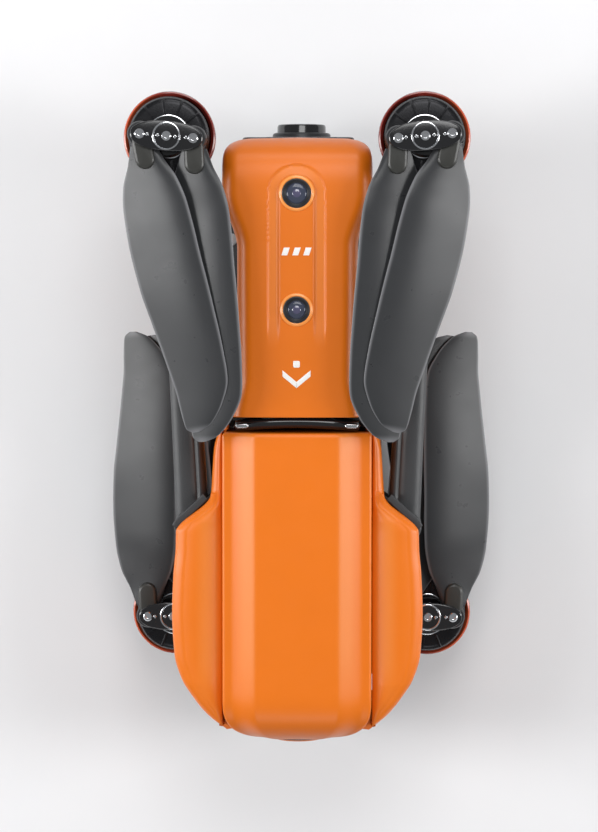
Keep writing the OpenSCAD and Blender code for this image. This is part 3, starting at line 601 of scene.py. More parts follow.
def section(half: Array, top: Array, low: Array, round_x: float, round_z: float, power: float,
            counts: tuple[int, int, int], crown: float = 0.0) -> Array:
    """Cross sections of an upturned shell: straight sides, superellipse corners and a crowned top.

    The corner from the side to the top is x = half - round_x (1 - shoulder(t)), z = top - round_z (1 - t).

    Args:
        half: half width of each section.
        top: height of each section's top.
        low: height of each section's lower edge.
        round_x: width of a corner.
        round_z: height of a corner.
        power: power of the superellipse, where 2 is an ellipse and more is squarer.
        counts: points up a side, round a corner and across the top.
        crown: rise of the middle over the corners.

    Returns:
        (rows, columns, 2) array of X and Z, from the lower left edge over the top to the lower right edge.
    """
    sides, corners, across = counts
    half, top, low = (np.asarray(v, float)[:, None] for v in (half, top, low))
    wide = np.minimum(round_x, half)
    tall = np.minimum(round_z, np.maximum(top - low, 0) * 0.9)
    up = np.linspace(0, 1, sides, endpoint=False)[None]
    a = np.linspace(0, QUARTER, corners, endpoint=False)[None]
    cos_a, sin_a = np.cos(a) ** (2 / power), np.sin(a) ** (2 / power)
    x_side, z_side = -half + 0 * up, low + (top - crown - tall - low) * up
    x_corner, z_corner = -(half - wide + wide * cos_a), top - crown - tall + tall * sin_a
    t = np.linspace(-1, 1, across)[None]
    x_top = (half - wide) * t
    z_top = top - crown * t * t + 0 * half
    x = np.concatenate([x_side, x_corner, x_top, -x_corner[:, ::-1], -x_side[:, ::-1]], 1)
    z = np.concatenate([z_side, z_corner, z_top, z_corner[:, ::-1], z_side[:, ::-1]], 1)
    return np.stack([x, z], -1)


def corner(node: str) -> tuple[Array, Array]:
    """Lowest and highest corner of a CAD node, in millimetres."""
    low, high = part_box(node)
    return np.array(low) / MM, np.array(high) / MM


# ---------------------------------------------------------------- airframe shells


@dataclass
class NoseCover:
    """Orange cover of the nose, with its two upward lenses, their track and the marks."""

    waist: float = 21.6
    flare: float = 2.6
    lens_y: tuple[float, float] = (82.5, 41.0)
    lens_r: tuple[float, float] = (5.75, 5.3)
    track: tuple[float, float] = (6.7, 10.3)
    front_run: float = 19.0
    front_drop: float = 22.0
    low: Array = field(default_factory=lambda: corner("nose_cover")[0])
    high: Array = field(default_factory=lambda: corner("nose_cover")[1])

    def half_width(self, y: Array) -> Array:
        """Waist, widened by smooth steps at the back and the nose, and closed at the tip by a superellipse."""
        widest = self.high[0]
        half = self.waist + self.flare * (1 - smooth(self.low[1], self.low[1] + 14, y))
        half = half + (widest - self.waist) * smooth(63, 83, y)
        return half * shoulder((y - self.high[1] + 15) / 15, 5)

    def top(self, y: Array) -> Array:
        """Level top that rolls down over the nose as a superellipse."""
        t = (y - self.high[1] + self.front_run) / self.front_run
        return self.high[2] - self.front_drop * (1 - shoulder(t, 2.8))

    def relief(self, x: Array, y: Array) -> Array:
        """Depth of the track round the lenses and of the lens seats.

        The track is the band between two distances from the front lens, or from the middle line behind it.

        Args:
            x: X of each point.
            y: Y of each point.

        Returns:
            The depth at each point, in millimetres.
        """
        front = self.lens_y[0]
        away = np.where(y > front, np.hypot(x, y - front), np.abs(x))
        inner, outer = self.track
        band = smooth(inner - 0.9, inner + 0.5, away) * (1 - smooth(outer - 0.5, outer + 0.3, away))
        depth = 0.75 * band * smooth(27, 40, y)
        for place, radius in zip(self.lens_y, self.lens_r):
            depth = depth + 3.0 * (1 - smooth(radius - 0.7, radius - 0.2, np.hypot(x, y - place)))
        return depth

    def shell(self) -> None:
        """Lofts the cover along Y and presses the track and the seats into its top."""
        y = np.concatenate([spaced(self.low[1], 84, 190)[:-1], self.high[1] - 19 * np.cos(
            np.linspace(0, QUARTER, 50))])
        low = self.low[2] + 8.1 * smooth(49, 53, y)
        flat = section(self.half_width(y), self.top(y), low, 6.5, 10.0, 2.3, (12, 14, 96), 0.7)
        x, z = flat[..., 0], flat[..., 1]
        rows = np.repeat(y[:, None], x.shape[1], 1)
        upper = smooth(self.high[2] - 4, self.high[2] - 2, z)
        z = z - self.relief(x, rows) * upper
        # The track and the lens seats are painted lighter: a painted highlight along the track.
        painted_highlight_mask = np.clip(self.relief(x, rows) / 0.75, 0, 1) * 0.35 * upper
        Surface().grid(np.stack([x, rows, z], -1), wear=painted_highlight_mask).build(
            "nose_cover_shell", ORANGE, "airframe", "orange_shell", ["nose_cover"], wall=1.6)

    def lens_rims(self) -> None:
        """Adds a raised orange rim and a black barrel with its glass at each upward lens."""
        rims, barrels, glass, coating = Surface(), Surface(), Surface(), Surface()
        for y, r in zip(self.lens_y, self.lens_r):
            at = (0, y, self.high[2] - 3.0)
            rims.lathe([(r - 0.5, 1.5), (r - 0.45, 3.25), (r - 0.1, 3.5), (r + 0.5, 3.3), (r + 0.9, 2.6),
                        (r + 0.9, 1.5), (r - 0.5, 1.5)], at)
            barrels.lathe([(0, 0.2), (r - 0.55, 0.2), (r - 0.55, 3.2), (r - 0.9, 3.3), (r - 1.3, 2.7), (r - 1.9, 2.3),
                           (r - 2.0, 1.9), (0, 1.9)], at)
            glass.lathe([(0, 1.6), (r - 2.0, 1.6), *dome(r - 2.0, 2.0, 0.55, 12)], at)
            coating.lathe([(0, 2.5), (1.5, 2.5), (1.2, 2.62), (0, 2.66)], at)
        rims.build("upward_lens_rims", RIM_ORANGE, "airframe", "orange_shell")
        barrels.build("upward_lens_barrels", BLACK, "airframe", "black_gloss")
        glass.build("upward_lens_glass", LENS_BLACK, "airframe", "lens_glass")
        coating.build("upward_lens_coating", LENS_BLUE, "airframe", "lens_glass")

    def marks(self) -> None:
        """Inlays three slanted bars and a plain chevron, as thin raised slabs."""
        made = Surface()
        height = self.high[2] - 0.05
        bar = np.array([(-1.5, -1.4), (0.6, -1.4), (1.5, 1.4), (-0.6, 1.4)])
        for x in (-3.9, 0.0, 3.9):
            made.slab(bar, 0, 0.22, 0.05, (x, 61.8, height - 0.12))
        arm = np.array([(-0.06, -1.2), (5.0, 3.0), (5.0, 5.2), (-0.06, 1.0)])
        made.slab(arm, 0, 0.22, 0.05, (0, 14.2, height - 0.1))
        made.slab((arm * (-1, 1))[::-1], 0, 0.22, 0.05, (0, 14.2, height - 0.1))
        dot = round_box(1.2, 1.2, 0.5)
        made.slab(dot, 0, 0.22, 0.05, (0, 21.6, height - 0.05))
        made.build("nose_marks", WHITE, "airframe", "orange_shell")

    def build(self) -> None:
        """Builds the cover and what sits in its top."""
        self.shell()
        self.lens_rims()
        self.marks()


@dataclass
class SeamStrip:
    """Glossy strip in the gap between nose and battery, with a bright insert at each end."""

    half: float = 22.9
    depth: float = 4.0
    arch: float = 1.5

    def build(self) -> None:
        """Sweeps an eased section along an arched line, y = middle + arch (1 - (x / half)^2)."""
        low, high = corner("seam_strip")
        x = np.linspace(-self.half, self.half, 60)
        share = x / self.half
        middle = -1.0 + self.arch * (1 - share ** 2)
        height = high[2] + 1.8 - 3.4 * share ** 4
        a = np.linspace(0, math.pi, 13)
        size = shoulder(np.abs(share), 9)[:, None]
        y = middle[:, None] - self.depth / 2 * np.cos(a) * size
        z = height[:, None] - 2.2 + 2.2 * np.sin(a) ** 0.7 * size
        across = np.stack([np.repeat(x[:, None], len(a), 1), y, z], -1)
        foot = across[:, ::-1].copy()
        foot[..., 2] = low[2]
        Surface().grid(np.concatenate([across, foot], 1)[:, ::-1], wrap=True).build(
            "seam_strip_gloss", GLOSS_BLACK, "airframe", "black_gloss", ["seam_strip"])
        glints = Surface()
        for side in (-1, 1):
            place = (side * 19.6, -0.75, high[2] + 0.1)
            glints.slab(capsule(1.5, 0.75), 0, 0.9, 0.25, place)
        glints.build("seam_strip_inserts", CHROME, "airframe", "steel")


@dataclass
class HipFairing:
    """Orange fairing over one rear arm's hinge, with the cheek that runs forward beside the battery."""

    side: Side
    inner: float = 27.15
    front_inner: float = 24.7
    valley: float = 86.6
    crest: float = 2.3
    eased: tuple[float, float] = (4.2, 3.4)
    skirt: tuple[float, float, float] = (46.0, 83.7, 44.6)
    # sheen: strength of the painted sheen, a lighter tone on the hip's crest.
    sheen: float = 0.42
    plan: Knots = ((-110.6, 27.3), (-109.2, 29.4), (-106.6, 32.4), (-100, 37.7), (-92.5, 42.2), (-84, 44.6),
                   (-69, 45.4), (-55, 44.9), (-46, 44.1), (-39.2, 43.9), (-37.4, 42.9), (-26.6, 31.5), (-24, 31.2),
                   (-10, 30.3), (-3, 28.5), (0.5, 26.4), (1.2, 25.0))

    def rows(self) -> Array:
        """Places of the sections along Y, closer together where the shape turns."""
        spans = ((-110.6, -92, 44), (-92, -56.5, 34), (-56.5, -52, 16), (-52, -41, 10), (-41, -36, 16),
                 (-36, -27.6, 12), (-27.6, -23.8, 24), (-23.8, -4, 16), (-4, 1.2, 30))
        return np.concatenate([np.linspace(a, b, n, endpoint=b == 1.2) for a, b, n in spans])

    def sink(self, y: Array) -> Array:
        """How far the roof lies under its line: it rolls down at the tail, steps down to the cheek and ends round."""
        tail = 24 * (1 - shoulder((-97.5 - y) / 20, 3.0))
        return tail + 2.0 * smooth(-30.0, -24.0, y) + 2.6 * (1 - shoulder((y + 1.6) / 2.8, 2))

    def roof(self) -> None:
        """Lofts the roof along Y.

        Across it, a share q runs from the battery to the outer corner. The height is the valley plus
        crest sin(0.72 pi q^0.85), less the sink. The corner is a quarter ellipse and a skirt hangs from it.
        The skirt is long at the tail and the front, and short between them, where the arm swings.
        """
        y = self.rows()
        edge = through(self.plan, y)[:, None]
        tail, middle, front = self.skirt
        skirt = tail + (middle - tail) * smooth(-55.6, -53.2, y) - (middle - front) * smooth(-25.6, -25.2, y)
        inner = self.inner - (self.inner - self.front_inner) * smooth(-2.9, -2.4, y)[:, None]
        wide = edge - inner
        base = (self.valley - self.sink(y))[:, None]
        corner_x = np.minimum(self.eased[0], wide * 0.6)
        q = np.linspace(0, 1, 44)[None]
        x_top = inner + (wide - corner_x) * q
        z_top = base + self.crest * np.minimum(1, wide / 14) * np.sin(math.pi * 0.72 * q ** 0.85)
        a = np.linspace(0, QUARTER, 14)[None, 1:]
        z_edge = z_top[:, -1:]
        tall = np.minimum(self.eased[1], (z_edge - skirt[:, None]) * 0.8)
        x_round = edge - corner_x + corner_x * np.sin(a)
        z_round = z_edge - tall * (1 - np.cos(a))
        down = np.linspace(0, 1, 26)[None, 1:]
        x_skirt = edge - 1.2 * down * smooth(-53, -58, y)[:, None]
        z_skirt = z_edge - tall - (z_edge - tall - skirt[:, None]) * down
        x = np.concatenate([inner, x_top, x_round, x_skirt], 1)
        z = np.concatenate([base - 1.6, z_top, z_round, z_skirt], 1)
        rows = np.repeat(y[:, None], x.shape[1], 1)
        # The crest beside the battery is painted lighter, a painted sheen, fading towards the tail and the shoulder.
        painted_highlight_mask = self.sheen * smooth(27.6, 29.6, x) * (1 - smooth(32.5, 37.5, x)) * smooth(-104, -84, rows)
        painted_highlight_mask = painted_highlight_mask * (1 - smooth(-38, -28, rows)) * (z > 80)
        Surface().grid(np.stack([-x, rows, z], -1)[:, ::-1], wear=painted_highlight_mask[:, ::-1]).on(self.side).build(
            f"hip_{self.side.word}", ORANGE, "airframe", "orange_shell", [f"rear_fairing_{self.side.word}"], wall=1.3)

    def band(self) -> None:
        """Runs a dark band along the shoulder's diagonal, just outside and under its edge."""
        y = np.linspace(-27.6, -38.8, 30)
        x = np.interp(y, *np.array(self.plan).T)
        normal = np.array([0.69, 0.724])
        outline = round_box(1.35, 0.8, 0.5)
        away = outline[:, 0] + 1.0
        px, py = x[:, None] + normal[0] * away, y[:, None] + normal[1] * away
        z = np.repeat((84.0 + outline[:, 1])[None], len(y), 0)
        Surface().grid(capped(np.stack([-px, py, z], -1)), wrap=True).on(self.side).build(
            f"shoulder_band_{self.side.word}", BELLY_GREY, "airframe", "grey_polymer")

    def build(self) -> None:
        """Builds the roof with its skirt and the dark band under the shoulder."""
        self.roof()
        self.band()


# ---------------------------------------------------------------- battery


@dataclass
class Battery:
    """Slide-in battery: orange case, power button, side latches."""

    tail_run: float = 17.0
    roll_run: float = 20.0
    roll_drop: float = 24.0
    plate: float = 0.545
    valley: float = 0.90
    fall: float = 4.4
    crown: float = 0.4
    latch_t: float = 8.0
    low: Array = field(default_factory=lambda: corner("battery_case")[0])
    high: Array = field(default_factory=lambda: corner("battery_case")[1])

    def case(self) -> None:
        """Lofts the closed case along Y: a superellipse tail, a flat front face and a roof with falling sides.

        With u the share of the half width, the roof falls by crown u^2 + fall * smooth(plate, valley, u)^0.85.
        """
        tail, front, half = self.low[1], self.high[1], self.high[0]
        y = np.concatenate([tail + self.tail_run * (1 - np.cos(np.linspace(0, QUARTER, 60))),
                            np.linspace(tail + self.tail_run, front - 1.5, 100)[1:],
                            front - 1.5 + 1.5 * np.sin(np.linspace(0, QUARTER, 7))[1:]])
        width = half * shoulder((tail + self.tail_run - y) / self.tail_run, 3.0)
        ease = 1.2 * (1 - shoulder((y - front + 1.5) / 1.5, 2))
        top = self.high[2] - self.roll_drop * (1 - shoulder((tail + self.roll_run - y) / self.roll_run, 2.6)) - ease
        bottom = self.low[2] + 0 * y
        rim = top - self.crown - self.fall
        flat = section(width - ease, rim, bottom, 1.0, 1.0, 2, (64, 12, 140), 0)
        x, z = flat[..., 0], flat[..., 1]
        share = np.minimum(np.abs(x) / np.maximum((width - ease)[:, None], 1), 1)
        drop = self.crown * share ** 2 + self.fall * smooth(self.plate, self.valley, share) ** 0.85
        z = z + smooth(-1, 0, z - rim[:, None]) * (self.crown + self.fall - drop)
        under = np.linspace(1, -1, 16)[None, 1:-1] * (width - ease)[:, None]
        x = np.concatenate([x, under], 1)
        z = np.concatenate([z, np.repeat(bottom[:, None], 14, 1)], 1)
        rows = np.repeat(y[:, None], x.shape[1], 1)
        groove = smooth(6.4, 7.0, z - self.low[2]) * (1 - smooth(8.4, 9.0, z - self.low[2]))
        groove = groove * (1 - smooth(13.0, 13.6, np.abs(x))) * (rows < tail + 8)
        rows = rows + 0.9 * groove
        points = np.stack([x, rows, z], -1)
        cap = points[-1:].copy()
        cap[..., 0] = cap[..., 0] * 0.2
        cap[..., 2] = (cap[..., 2] - 70) * 0.2 + 70
        middle = np.repeat(cap.mean(1, keepdims=True), cap.shape[1], 1)
        points = np.concatenate([points, cap, middle], 0)
        off = np.abs(points[..., 0])
        # Stripes where the roof falls to the sides are painted lighter: painted highlights, fading towards the tail.
        painted_highlight_mask = 0.42 * smooth(13.6, 16.8, off) * (1 - smooth(18.2, 22.8, off)) * (points[..., 2] > 76)
        painted_highlight_mask = painted_highlight_mask * smooth(tail + 9, tail + 38, points[..., 1])
        Surface().grid(points, wrap=True, wear=painted_highlight_mask).build(
            "battery_shell", ORANGE, "battery", "orange_shell", ["battery_case"])

    def button(self) -> None:
        """Turns the power button with its pressed ring, and sets a row of charge lights round it."""
        low, high = corner("battery_button")
        r, z = (high[0] - low[0]) / 2, (low[2] + high[2]) / 2
        at = (0, low[1] + 3.4, z)
        Surface().lathe([(0, 0), (r, 0), (r, 2.6), (r - 0.5, 3.1), (r - 1.6, 3.3), (r - 1.9, 3.0), (r - 2.5, 3.0),
                         (r - 2.8, 3.3), (2.4, 3.4), (0, 3.4)], at, Axis.TAIL, 96).build(
            "power_button", ORANGE_SOFT, "power_button", "orange_button", ["battery_button"])
        lights = Surface()
        for a in np.radians([-54, -18, 18, 54]):
            lights.lathe(eased(0.55, 0, 0.5, 0.2), (4.6 * math.sin(a), low[1] + 0.5, z + 4.6 * math.cos(a)),
                         Axis.TAIL, 16)
        lights.build("charge_lights", WHITE, "power_button", "orange_button")
        Surface().lathe(ring(r + 0.35, r + 1.1, 0, 1.0, 0.3), (0, self.low[1] + 0.9, z), Axis.TAIL, 96).build(
            "button_surround", GLOSS_BLACK, "battery", "black_gloss")

    def latch(self, side: Side) -> None:
        """Stacks one release latch: a pad whose tail corner follows the case's curve, with ribs and a bright edge."""
        low, high = corner(f"battery_latch_{side.word}")
        out, body = max(abs(low[0]), abs(high[0])), f"latch_{side.word}"
        root, tail, front = out - self.latch_t, low[1], high[1]
        curve = np.array([(out, front - 3.2), (out - 0.4, front - 4.2), (out - 3.0, front - 6.8),
                          (out - 5.6, tail + 1.2), (out - 6.6, tail + 0.4)])
        outline = np.concatenate([[(root, tail + 0.2), (root, front), (out - 0.4, front), (out, front - 0.4)], curve])
        made = Surface().slab((outline * (-1, 1))[::-1], low[2], high[2], 0.7)
        for x, y in curve[1:4] + (0.05, -0.05):
            made.lathe(eased(0.55, low[2] + 3, high[2] - 3, 0.3), (-x, y, 0), steps=16)
        made.on(side).build(f"release_latch_{side.word}", ORANGE_SOFT, body, "orange_button",
                            [f"battery_latch_{side.word}"])
        edge = Surface().slab(round_box(0.5, 1.3, 0.35), low[2] + 2, high[2] + 0.4, 0.2, (-out - 0.3, front - 2.6, 0))
        edge.on(side).build(f"latch_edge_{side.word}", CHROME, body, "steel")

    def build(self) -> None:
        """Builds the case, the button and both latches."""
        self.case()
        self.button()
        for side in Side:
            self.latch(side)


# ---------------------------------------------------------------- arms and rotors


@dataclass
class Arm:
    """One folding arm: knuckle, beam and motor pod with its coloured ring. It is drawn for the left side."""

    end: End
    side: Side
    hinge: Array
    motor: Array
    half: float = 6.0
    knuckle_r: float = 6.5
    pod_r: float = 13.5
    power: float = 4.2
    rear_beam: float = 14.0
    groove: tuple[float, float] = (0.75, 0.9)

    @property
    def body(self) -> str:
        """Name of the CAD body."""
        return f"{self.end.value}_arm_{self.side.word}"

    def beam(self, low: float, high: float) -> Array:
        """Carries a superellipse section along the arm, with a long groove pressed into its top.

        A point is middle(s) + across w(s) |cos a|^(2/n) sign(cos a), and its height is the same with sin.

        Args:
            low: height of the underside.
            high: height of the top.

        Returns:
            A grid of points whose first and last rows close to points.
        """
        run = self.motor - self.hinge
        length = float(np.linalg.norm(run))
        along = run / length
        across = np.array([-along[1], along[0]])
        s = spaced(2.0, length - 6.0, 110, 0.5)
        a = np.linspace(0, TURN, 72, endpoint=False)
        half = self.half + 0.9 * smooth(length * 0.25, length, s) - 0.5 * np.sin(math.pi * s / length)
        tall = (high - low) / 2 - 0.5 * np.sin(math.pi * s / length) ** 2
        u, v = superellipse(a, self.power)
        w, z = half[:, None] * u, (low + high) / 2 + tall[:, None] * v
        offset = -2.6 if self.end is End.REAR else 2.0
        width, depth = self.groove
        stretch = smooth(6, 12, s) * (1 - smooth(length - 24, length - 16, s))
        z = z - depth * np.exp(-((w - offset) / width) ** 2) * (v > 0.9) * stretch[:, None]
        base = self.hinge + s[:, None] * along
        return capped(np.stack([base[:, :1] + w * across[0], base[:, 1:] + w * across[1], z], -1))

    def build(self) -> None:
        """Builds the arm, its ring and, on a front arm, the foot under its motor."""
        low, high = corner(self.body)
        beam_low = low[2]
        seat = high[2]
        beam_high = beam_low + (self.rear_beam if self.end is End.REAR else seat - beam_low)
        made = Surface()
        made.grid(self.beam(beam_low, beam_high), wrap=True)
        r = self.knuckle_r
        made.lathe([(2.56, beam_low + 0.4), (3.0, beam_low), (r - 0.9, beam_low), (r - 0.25, beam_low + 0.3),
                    (r, beam_low + 1.0), (r, beam_high - 1.0), (r - 0.25, beam_high - 0.3), (r - 0.9, beam_high),
                    (3.0, beam_high), (2.56, beam_high - 0.4), (2.56, beam_low + 0.4)], (*self.hinge, 0), steps=48)
        p = self.pod_r
        under = [(p * math.sin(t), beam_low + 3.2 * (1 - math.cos(t))) for t in np.linspace(0.55, QUARTER, 9)]
        made.lathe([(0, beam_low), *under, (p, seat - 5.2), (p + 0.8, seat - 4.2), (p + 0.8, seat - 1.0),
                    (p + 0.3, seat - 0.2), (p - 0.4, seat), (0, seat)], (*self.motor, 0), steps=96)
        made.on(self.side).build(f"{self.body}_shell", ARM_GREY, self.body, "grey_polymer", [self.body])
        rim = Surface()
        # The ring's outer side, towards 190 degrees, is painted lighter: a painted highlight.
        rim.lathe([(p + 0.7, seat - 3.6), (p + 2.2, seat - 3.1), (p + 2.8, seat - 2.0), (p + 3.0, seat + 3.6),
                   (p + 2.8, seat + 4.4), (p + 2.3, seat + 4.7), (p + 1.3, seat + 3.7), (p + 1.15, seat + 3.0),
                   (p + 1.15, seat + 0.6), (p + 0.7, seat - 0.9), (p + 0.7, seat - 3.6)], (*self.motor, 0), steps=128,
                  lit_from=190)
        rim.on(self.side).build(f"{self.body}_ring", POD_RED, self.body, "orange_shell")
        if self.end is End.FRONT:
            foot = Surface().lathe([(0, 0), (2.9, 0), (3.5, 0.35), (3.9, 1.2), (4.3, 2.2), (6.0, beam_low - 1.6),
                                    (7.4, beam_low + 0.2), (0, beam_low + 0.2)], (*self.motor, 0), steps=64)
            foot.on(self.side).build(f"landing_foot_{self.side.word}", RUBBER, self.body, "black_rubber",
                                     [f"landing_leg_{self.side.word}"])


@dataclass
class Blade:
    """One rotor blade, drawn from its pin along +Y with its leading edge towards +X."""

    length: float = 107.5
    half: float = 13.0
    chord: Knots = ((0.035, 0.34), (0.095, 0.52), (0.165, 0.80), (0.25, 0.95), (0.38, 1.0), (0.50, 0.99),
                    (0.62, 0.93), (0.735, 0.86), (0.845, 0.77), (0.92, 0.61), (0.96, 0.47), (0.985, 0.33),
                    (1.0, 0.10))
    sweep: Knots = ((0.035, 0.0), (0.165, 0.0), (0.25, 0.01), (0.38, 0.03), (0.50, 0.09), (0.62, 0.19), (0.735, 0.28),
                    (0.845, 0.33), (0.92, 0.21), (0.975, 0.04), (1.0, -0.08))
    thick: Knots = ((0.035, 4.2), (0.095, 3.4), (0.165, 2.5), (0.25, 2.0), (0.38, 1.5), (0.50, 1.3), (0.62, 1.1),
                    (0.735, 0.95), (0.845, 0.8), (0.92, 0.7), (1.0, 0.45))
    pitch: Knots = ((0.035, 4.0), (0.095, 12.0), (0.165, 16.0), (0.25, 18.0), (0.38, 18.0), (0.50, 17.0),
                    (0.62, 16.0), (0.735, 15.0), (0.845, 14.0), (1.0, 13.5))
    camber: Knots = ((0.035, 0.0), (0.165, 0.05), (0.30, 0.085), (0.55, 0.08), (0.8, 0.045), (1.0, 0.02))

    def skin(self) -> tuple[Array, Array]:
        """Works out the skin.

        Round a section, a point is at chord share cos a. Its height is the thickness times
        sin a (0.62 + 0.38 cos a) / 2, plus a camber of (1 - cos^2 a), and the section is then pitched.
        The middle of the chord moves along the sweep, so the leading edge bulges near the tip.

        Returns:
            A closed grid of points, and the share of painted highlight on each.
        """
        s = spaced(0.035, 1.0, 150, 0.7)
        a = np.linspace(0, TURN, 56, endpoint=False)
        half = through(self.chord, s)[:, None] * self.half
        thick = through(self.thick, s)[:, None]
        tilt = np.radians(through(self.pitch, s))[:, None]
        share = np.sign(np.cos(a)) * np.abs(np.cos(a)) ** 0.9
        c = half * share + through(self.sweep, s)[:, None] * self.half
        h = thick / 2 * np.sin(a) * (0.62 + 0.38 * share)
        h = h + through(self.camber, s)[:, None] * half * (1 - share ** 2)
        x = c * np.cos(tilt) - h * np.sin(tilt)
        z = c * np.sin(tilt) + h * np.cos(tilt)
        y = np.repeat(s[:, None] * self.length, len(a), 1)
        # Both edges and the tip are painted lighter: painted highlights.
        painted_highlight_mask = 0.75 * smooth(0.90, 1.0, np.abs(share))[None] * smooth(0.06, 0.16, s)[:, None]
        painted_highlight_mask = np.maximum(painted_highlight_mask, 0.6 * smooth(0.975, 1.0, s)[:, None])
        return capped(np.stack([x, y, z], -1)), np.concatenate([painted_highlight_mask[:1], painted_highlight_mask, painted_highlight_mask[-1:]], 0)


@dataclass
class Rotor:
    """One motor and its folding propeller. It is drawn for the left side."""

    end: End
    side: Side
    motor: Array
    pin_offset: float = 9.5
    bell_r: float = 14.4
    vanes: int = 12
    hub_turn: float = 0.0
    leans: tuple[float, float] = (0.0, 0.0)

    @property
    def name(self) -> str:
        """End and side, as in the names of nodes."""
        return f"{self.end.value}_{self.side.word}"

    @property
    def body(self) -> str:
        """Name of the CAD body."""
        return f"rotor_{self.name}"

    def bell(self, low: float, high: float) -> None:
        """Turns the bell with a chamfered rim and a shaft, and sets a ring of raised vanes on its top.

        Args:
            low: height of the bell's rim.
            high: height of its top.
        """
        r = self.bell_r
        made = Surface()
        made.lathe([(r - 1.6, low + 0.2), (r - 0.3, low), (r, low + 0.4), (r, high - 2.4), (r - 0.35, high - 1.9),
                    (r - 0.35, high - 1.5), (r - 0.8, high - 0.7), (r - 1.7, high - 0.15), (r - 2.6, high),
                    (7.6, high), (7.4, high - 1.4), (r - 2.6, high - 1.6), (r - 1.6, high - 2.6),
                    (r - 1.6, low + 0.2)], (*self.motor, 0), steps=128)
        vane = round_box(2.7, 0.45, 0.3, 4) + (11.0, 0)
        for i in range(self.vanes):
            a = math.radians(i * 360 / self.vanes + 8)
            spin = np.column_stack([vane[:, 0] * math.cos(a) - vane[:, 1] * math.sin(a),
                                    vane[:, 0] * math.sin(a) + vane[:, 1] * math.cos(a)])
            made.slab(spin, high - 0.3, high + 0.25, 0.15, (*self.motor, 0))
        made.lathe(eased(1.5, low - 3, high, 0.2), (*self.motor, 0), steps=32)
        made.on(self.side).build(f"bell_{self.name}_shell", BELL_BLACK, self.body, "black_alloy",
                                 [f"bell_{self.name}"])

    def placed(self, made: Surface) -> Surface:
        """Turns a surface drawn round the hub's centre by the hub's turn and moves it to the motor."""
        made.points = [turned(p, -self.hub_turn) + (*self.motor, 0) for p in made.points]
        return made.on(self.side)

    def hub(self, low: float, high: float) -> None:
        """Builds the hub: disc, lower plate, glossy bar, pins with bright heads and the centre ring.

        Args:
            low: height of the bell's top.
            high: height of the screw heads.
        """
        bar_top = high - 0.7
        dark = Surface()
        dark.lathe([(0, low), (7.0, low), (7.2, low + 0.3), (7.2, low + 1.1), (6.6, low + 1.6), (0, low + 1.6)],
                   (0, 0, 0))
        dark.slab(capsule(self.pin_offset, 4.2), low + 1.6, low + 3.3, 0.35)
        dark.lathe(eased(3.6, low + 3.2, bar_top - 1.6, 0.2), (0, 0, 0))
        a = np.linspace(0, TURN, 96, endpoint=False)
        waist = np.abs(np.cos(a)) ** 1.2
        outline = np.stack([(self.pin_offset + 3.4) * np.sign(np.cos(a)) * np.abs(np.cos(a)) ** 0.6,
                            (5.3 - 1.3 * waist) * np.sign(np.sin(a)) * np.abs(np.sin(a)) ** 0.75], -1)
        dark.slab(outline, bar_top - 1.7, bar_top, 0.55)
        self.placed(dark).build(f"hub_{self.name}_bar", GLOSS_BLACK, self.body, "black_gloss", [f"hub_{self.name}"])
        bright = Surface()
        bright.lathe(ring(7.25, 7.9, low + 0.2, low + 1.0, 0.2), (0, 0, 0), steps=96)
        bright.lathe(ring(4.35, 5.0, bar_top - 0.6, bar_top + 0.3, 0.18), (0, 0, 0), steps=96)
        for x in (-self.pin_offset, self.pin_offset):
            bright.lathe([(0, bar_top - 1), (1.75, bar_top - 1), (1.75, bar_top + 0.3), (1.4, bar_top + 0.65),
                          (0.85, bar_top + 0.65), (0.75, bar_top + 0.1), (0, bar_top + 0.1)], (x, 0, 0), steps=40)
            bright.lathe(eased(1.5, low + 3.0, bar_top - 1.0, 0.1), (x, 0, 0), steps=32)
        bright.lathe([(0, bar_top - 0.4), (1.7, bar_top - 0.4), (1.7, bar_top + 0.3), (1.4, bar_top + 0.6),
                      (0.9, bar_top + 0.6), (0.8, bar_top + 0.15), (0, bar_top + 0.15)], (0, 0, 0), steps=40)
        for x in (-3.1, 3.1, -6.9, 6.9):
            bright.lathe(eased(0.6, bar_top - 0.4, bar_top + 0.25, 0.15), (x, 0, 0), steps=24)
        self.placed(bright).build(f"hub_{self.name}_pins", CHROME, self.body, "steel")

    def blade(self, which: str, share: int, lean: float, boss: tuple[float, float]) -> None:
        """Places one blade on its pin, turned to its stowed lean, with its root knuckle and dark root sleeve.

        Args:
            which: outer or inner.
            share: -1 for the outer pin and 1 for the inner one.
            lean: angle from the line along the body.
            boss: lowest and highest height of the root knuckle.
        """
        points, painted_highlight_mask = Blade().skin()
        middle = (boss[0] + boss[1]) / 2
        points = points + (0, 0, middle)
        rear = self.end is End.REAR
        made = Surface().grid(points, wrap=True, wear=painted_highlight_mask).lathe(
            [(1.6, boss[0]), (4.2, boss[0]), (4.6, boss[0] + 0.5), (4.6, boss[1] - 0.7), (4.1, boss[1]),
             (1.6, boss[1]), (1.6, boss[0])], (0, 0, 0), steps=48)
        if rear:
            made.mirrored()
        turn = 180 + self.hub_turn + lean if rear else lean
        node = f"blade_{self.name}_{which}"
        sleeve = capsule(3.9, 3.5)[:, ::-1][::-1] + (0, 5.2)
        clip = Surface().slab(sleeve, boss[0] + 0.5, boss[1] + 0.3, 1.2)
        for part in (made, clip):
            part.points = [turned(p, turn) + (share * self.pin_offset, 0, 0) for p in part.points]
        self.placed(made).build(f"{node}_skin", BLADE_GREY, node, "blade_polymer", [node])
        self.placed(clip).build(f"{node}_root", ROOT_DARK, node, "blade_polymer", [node])

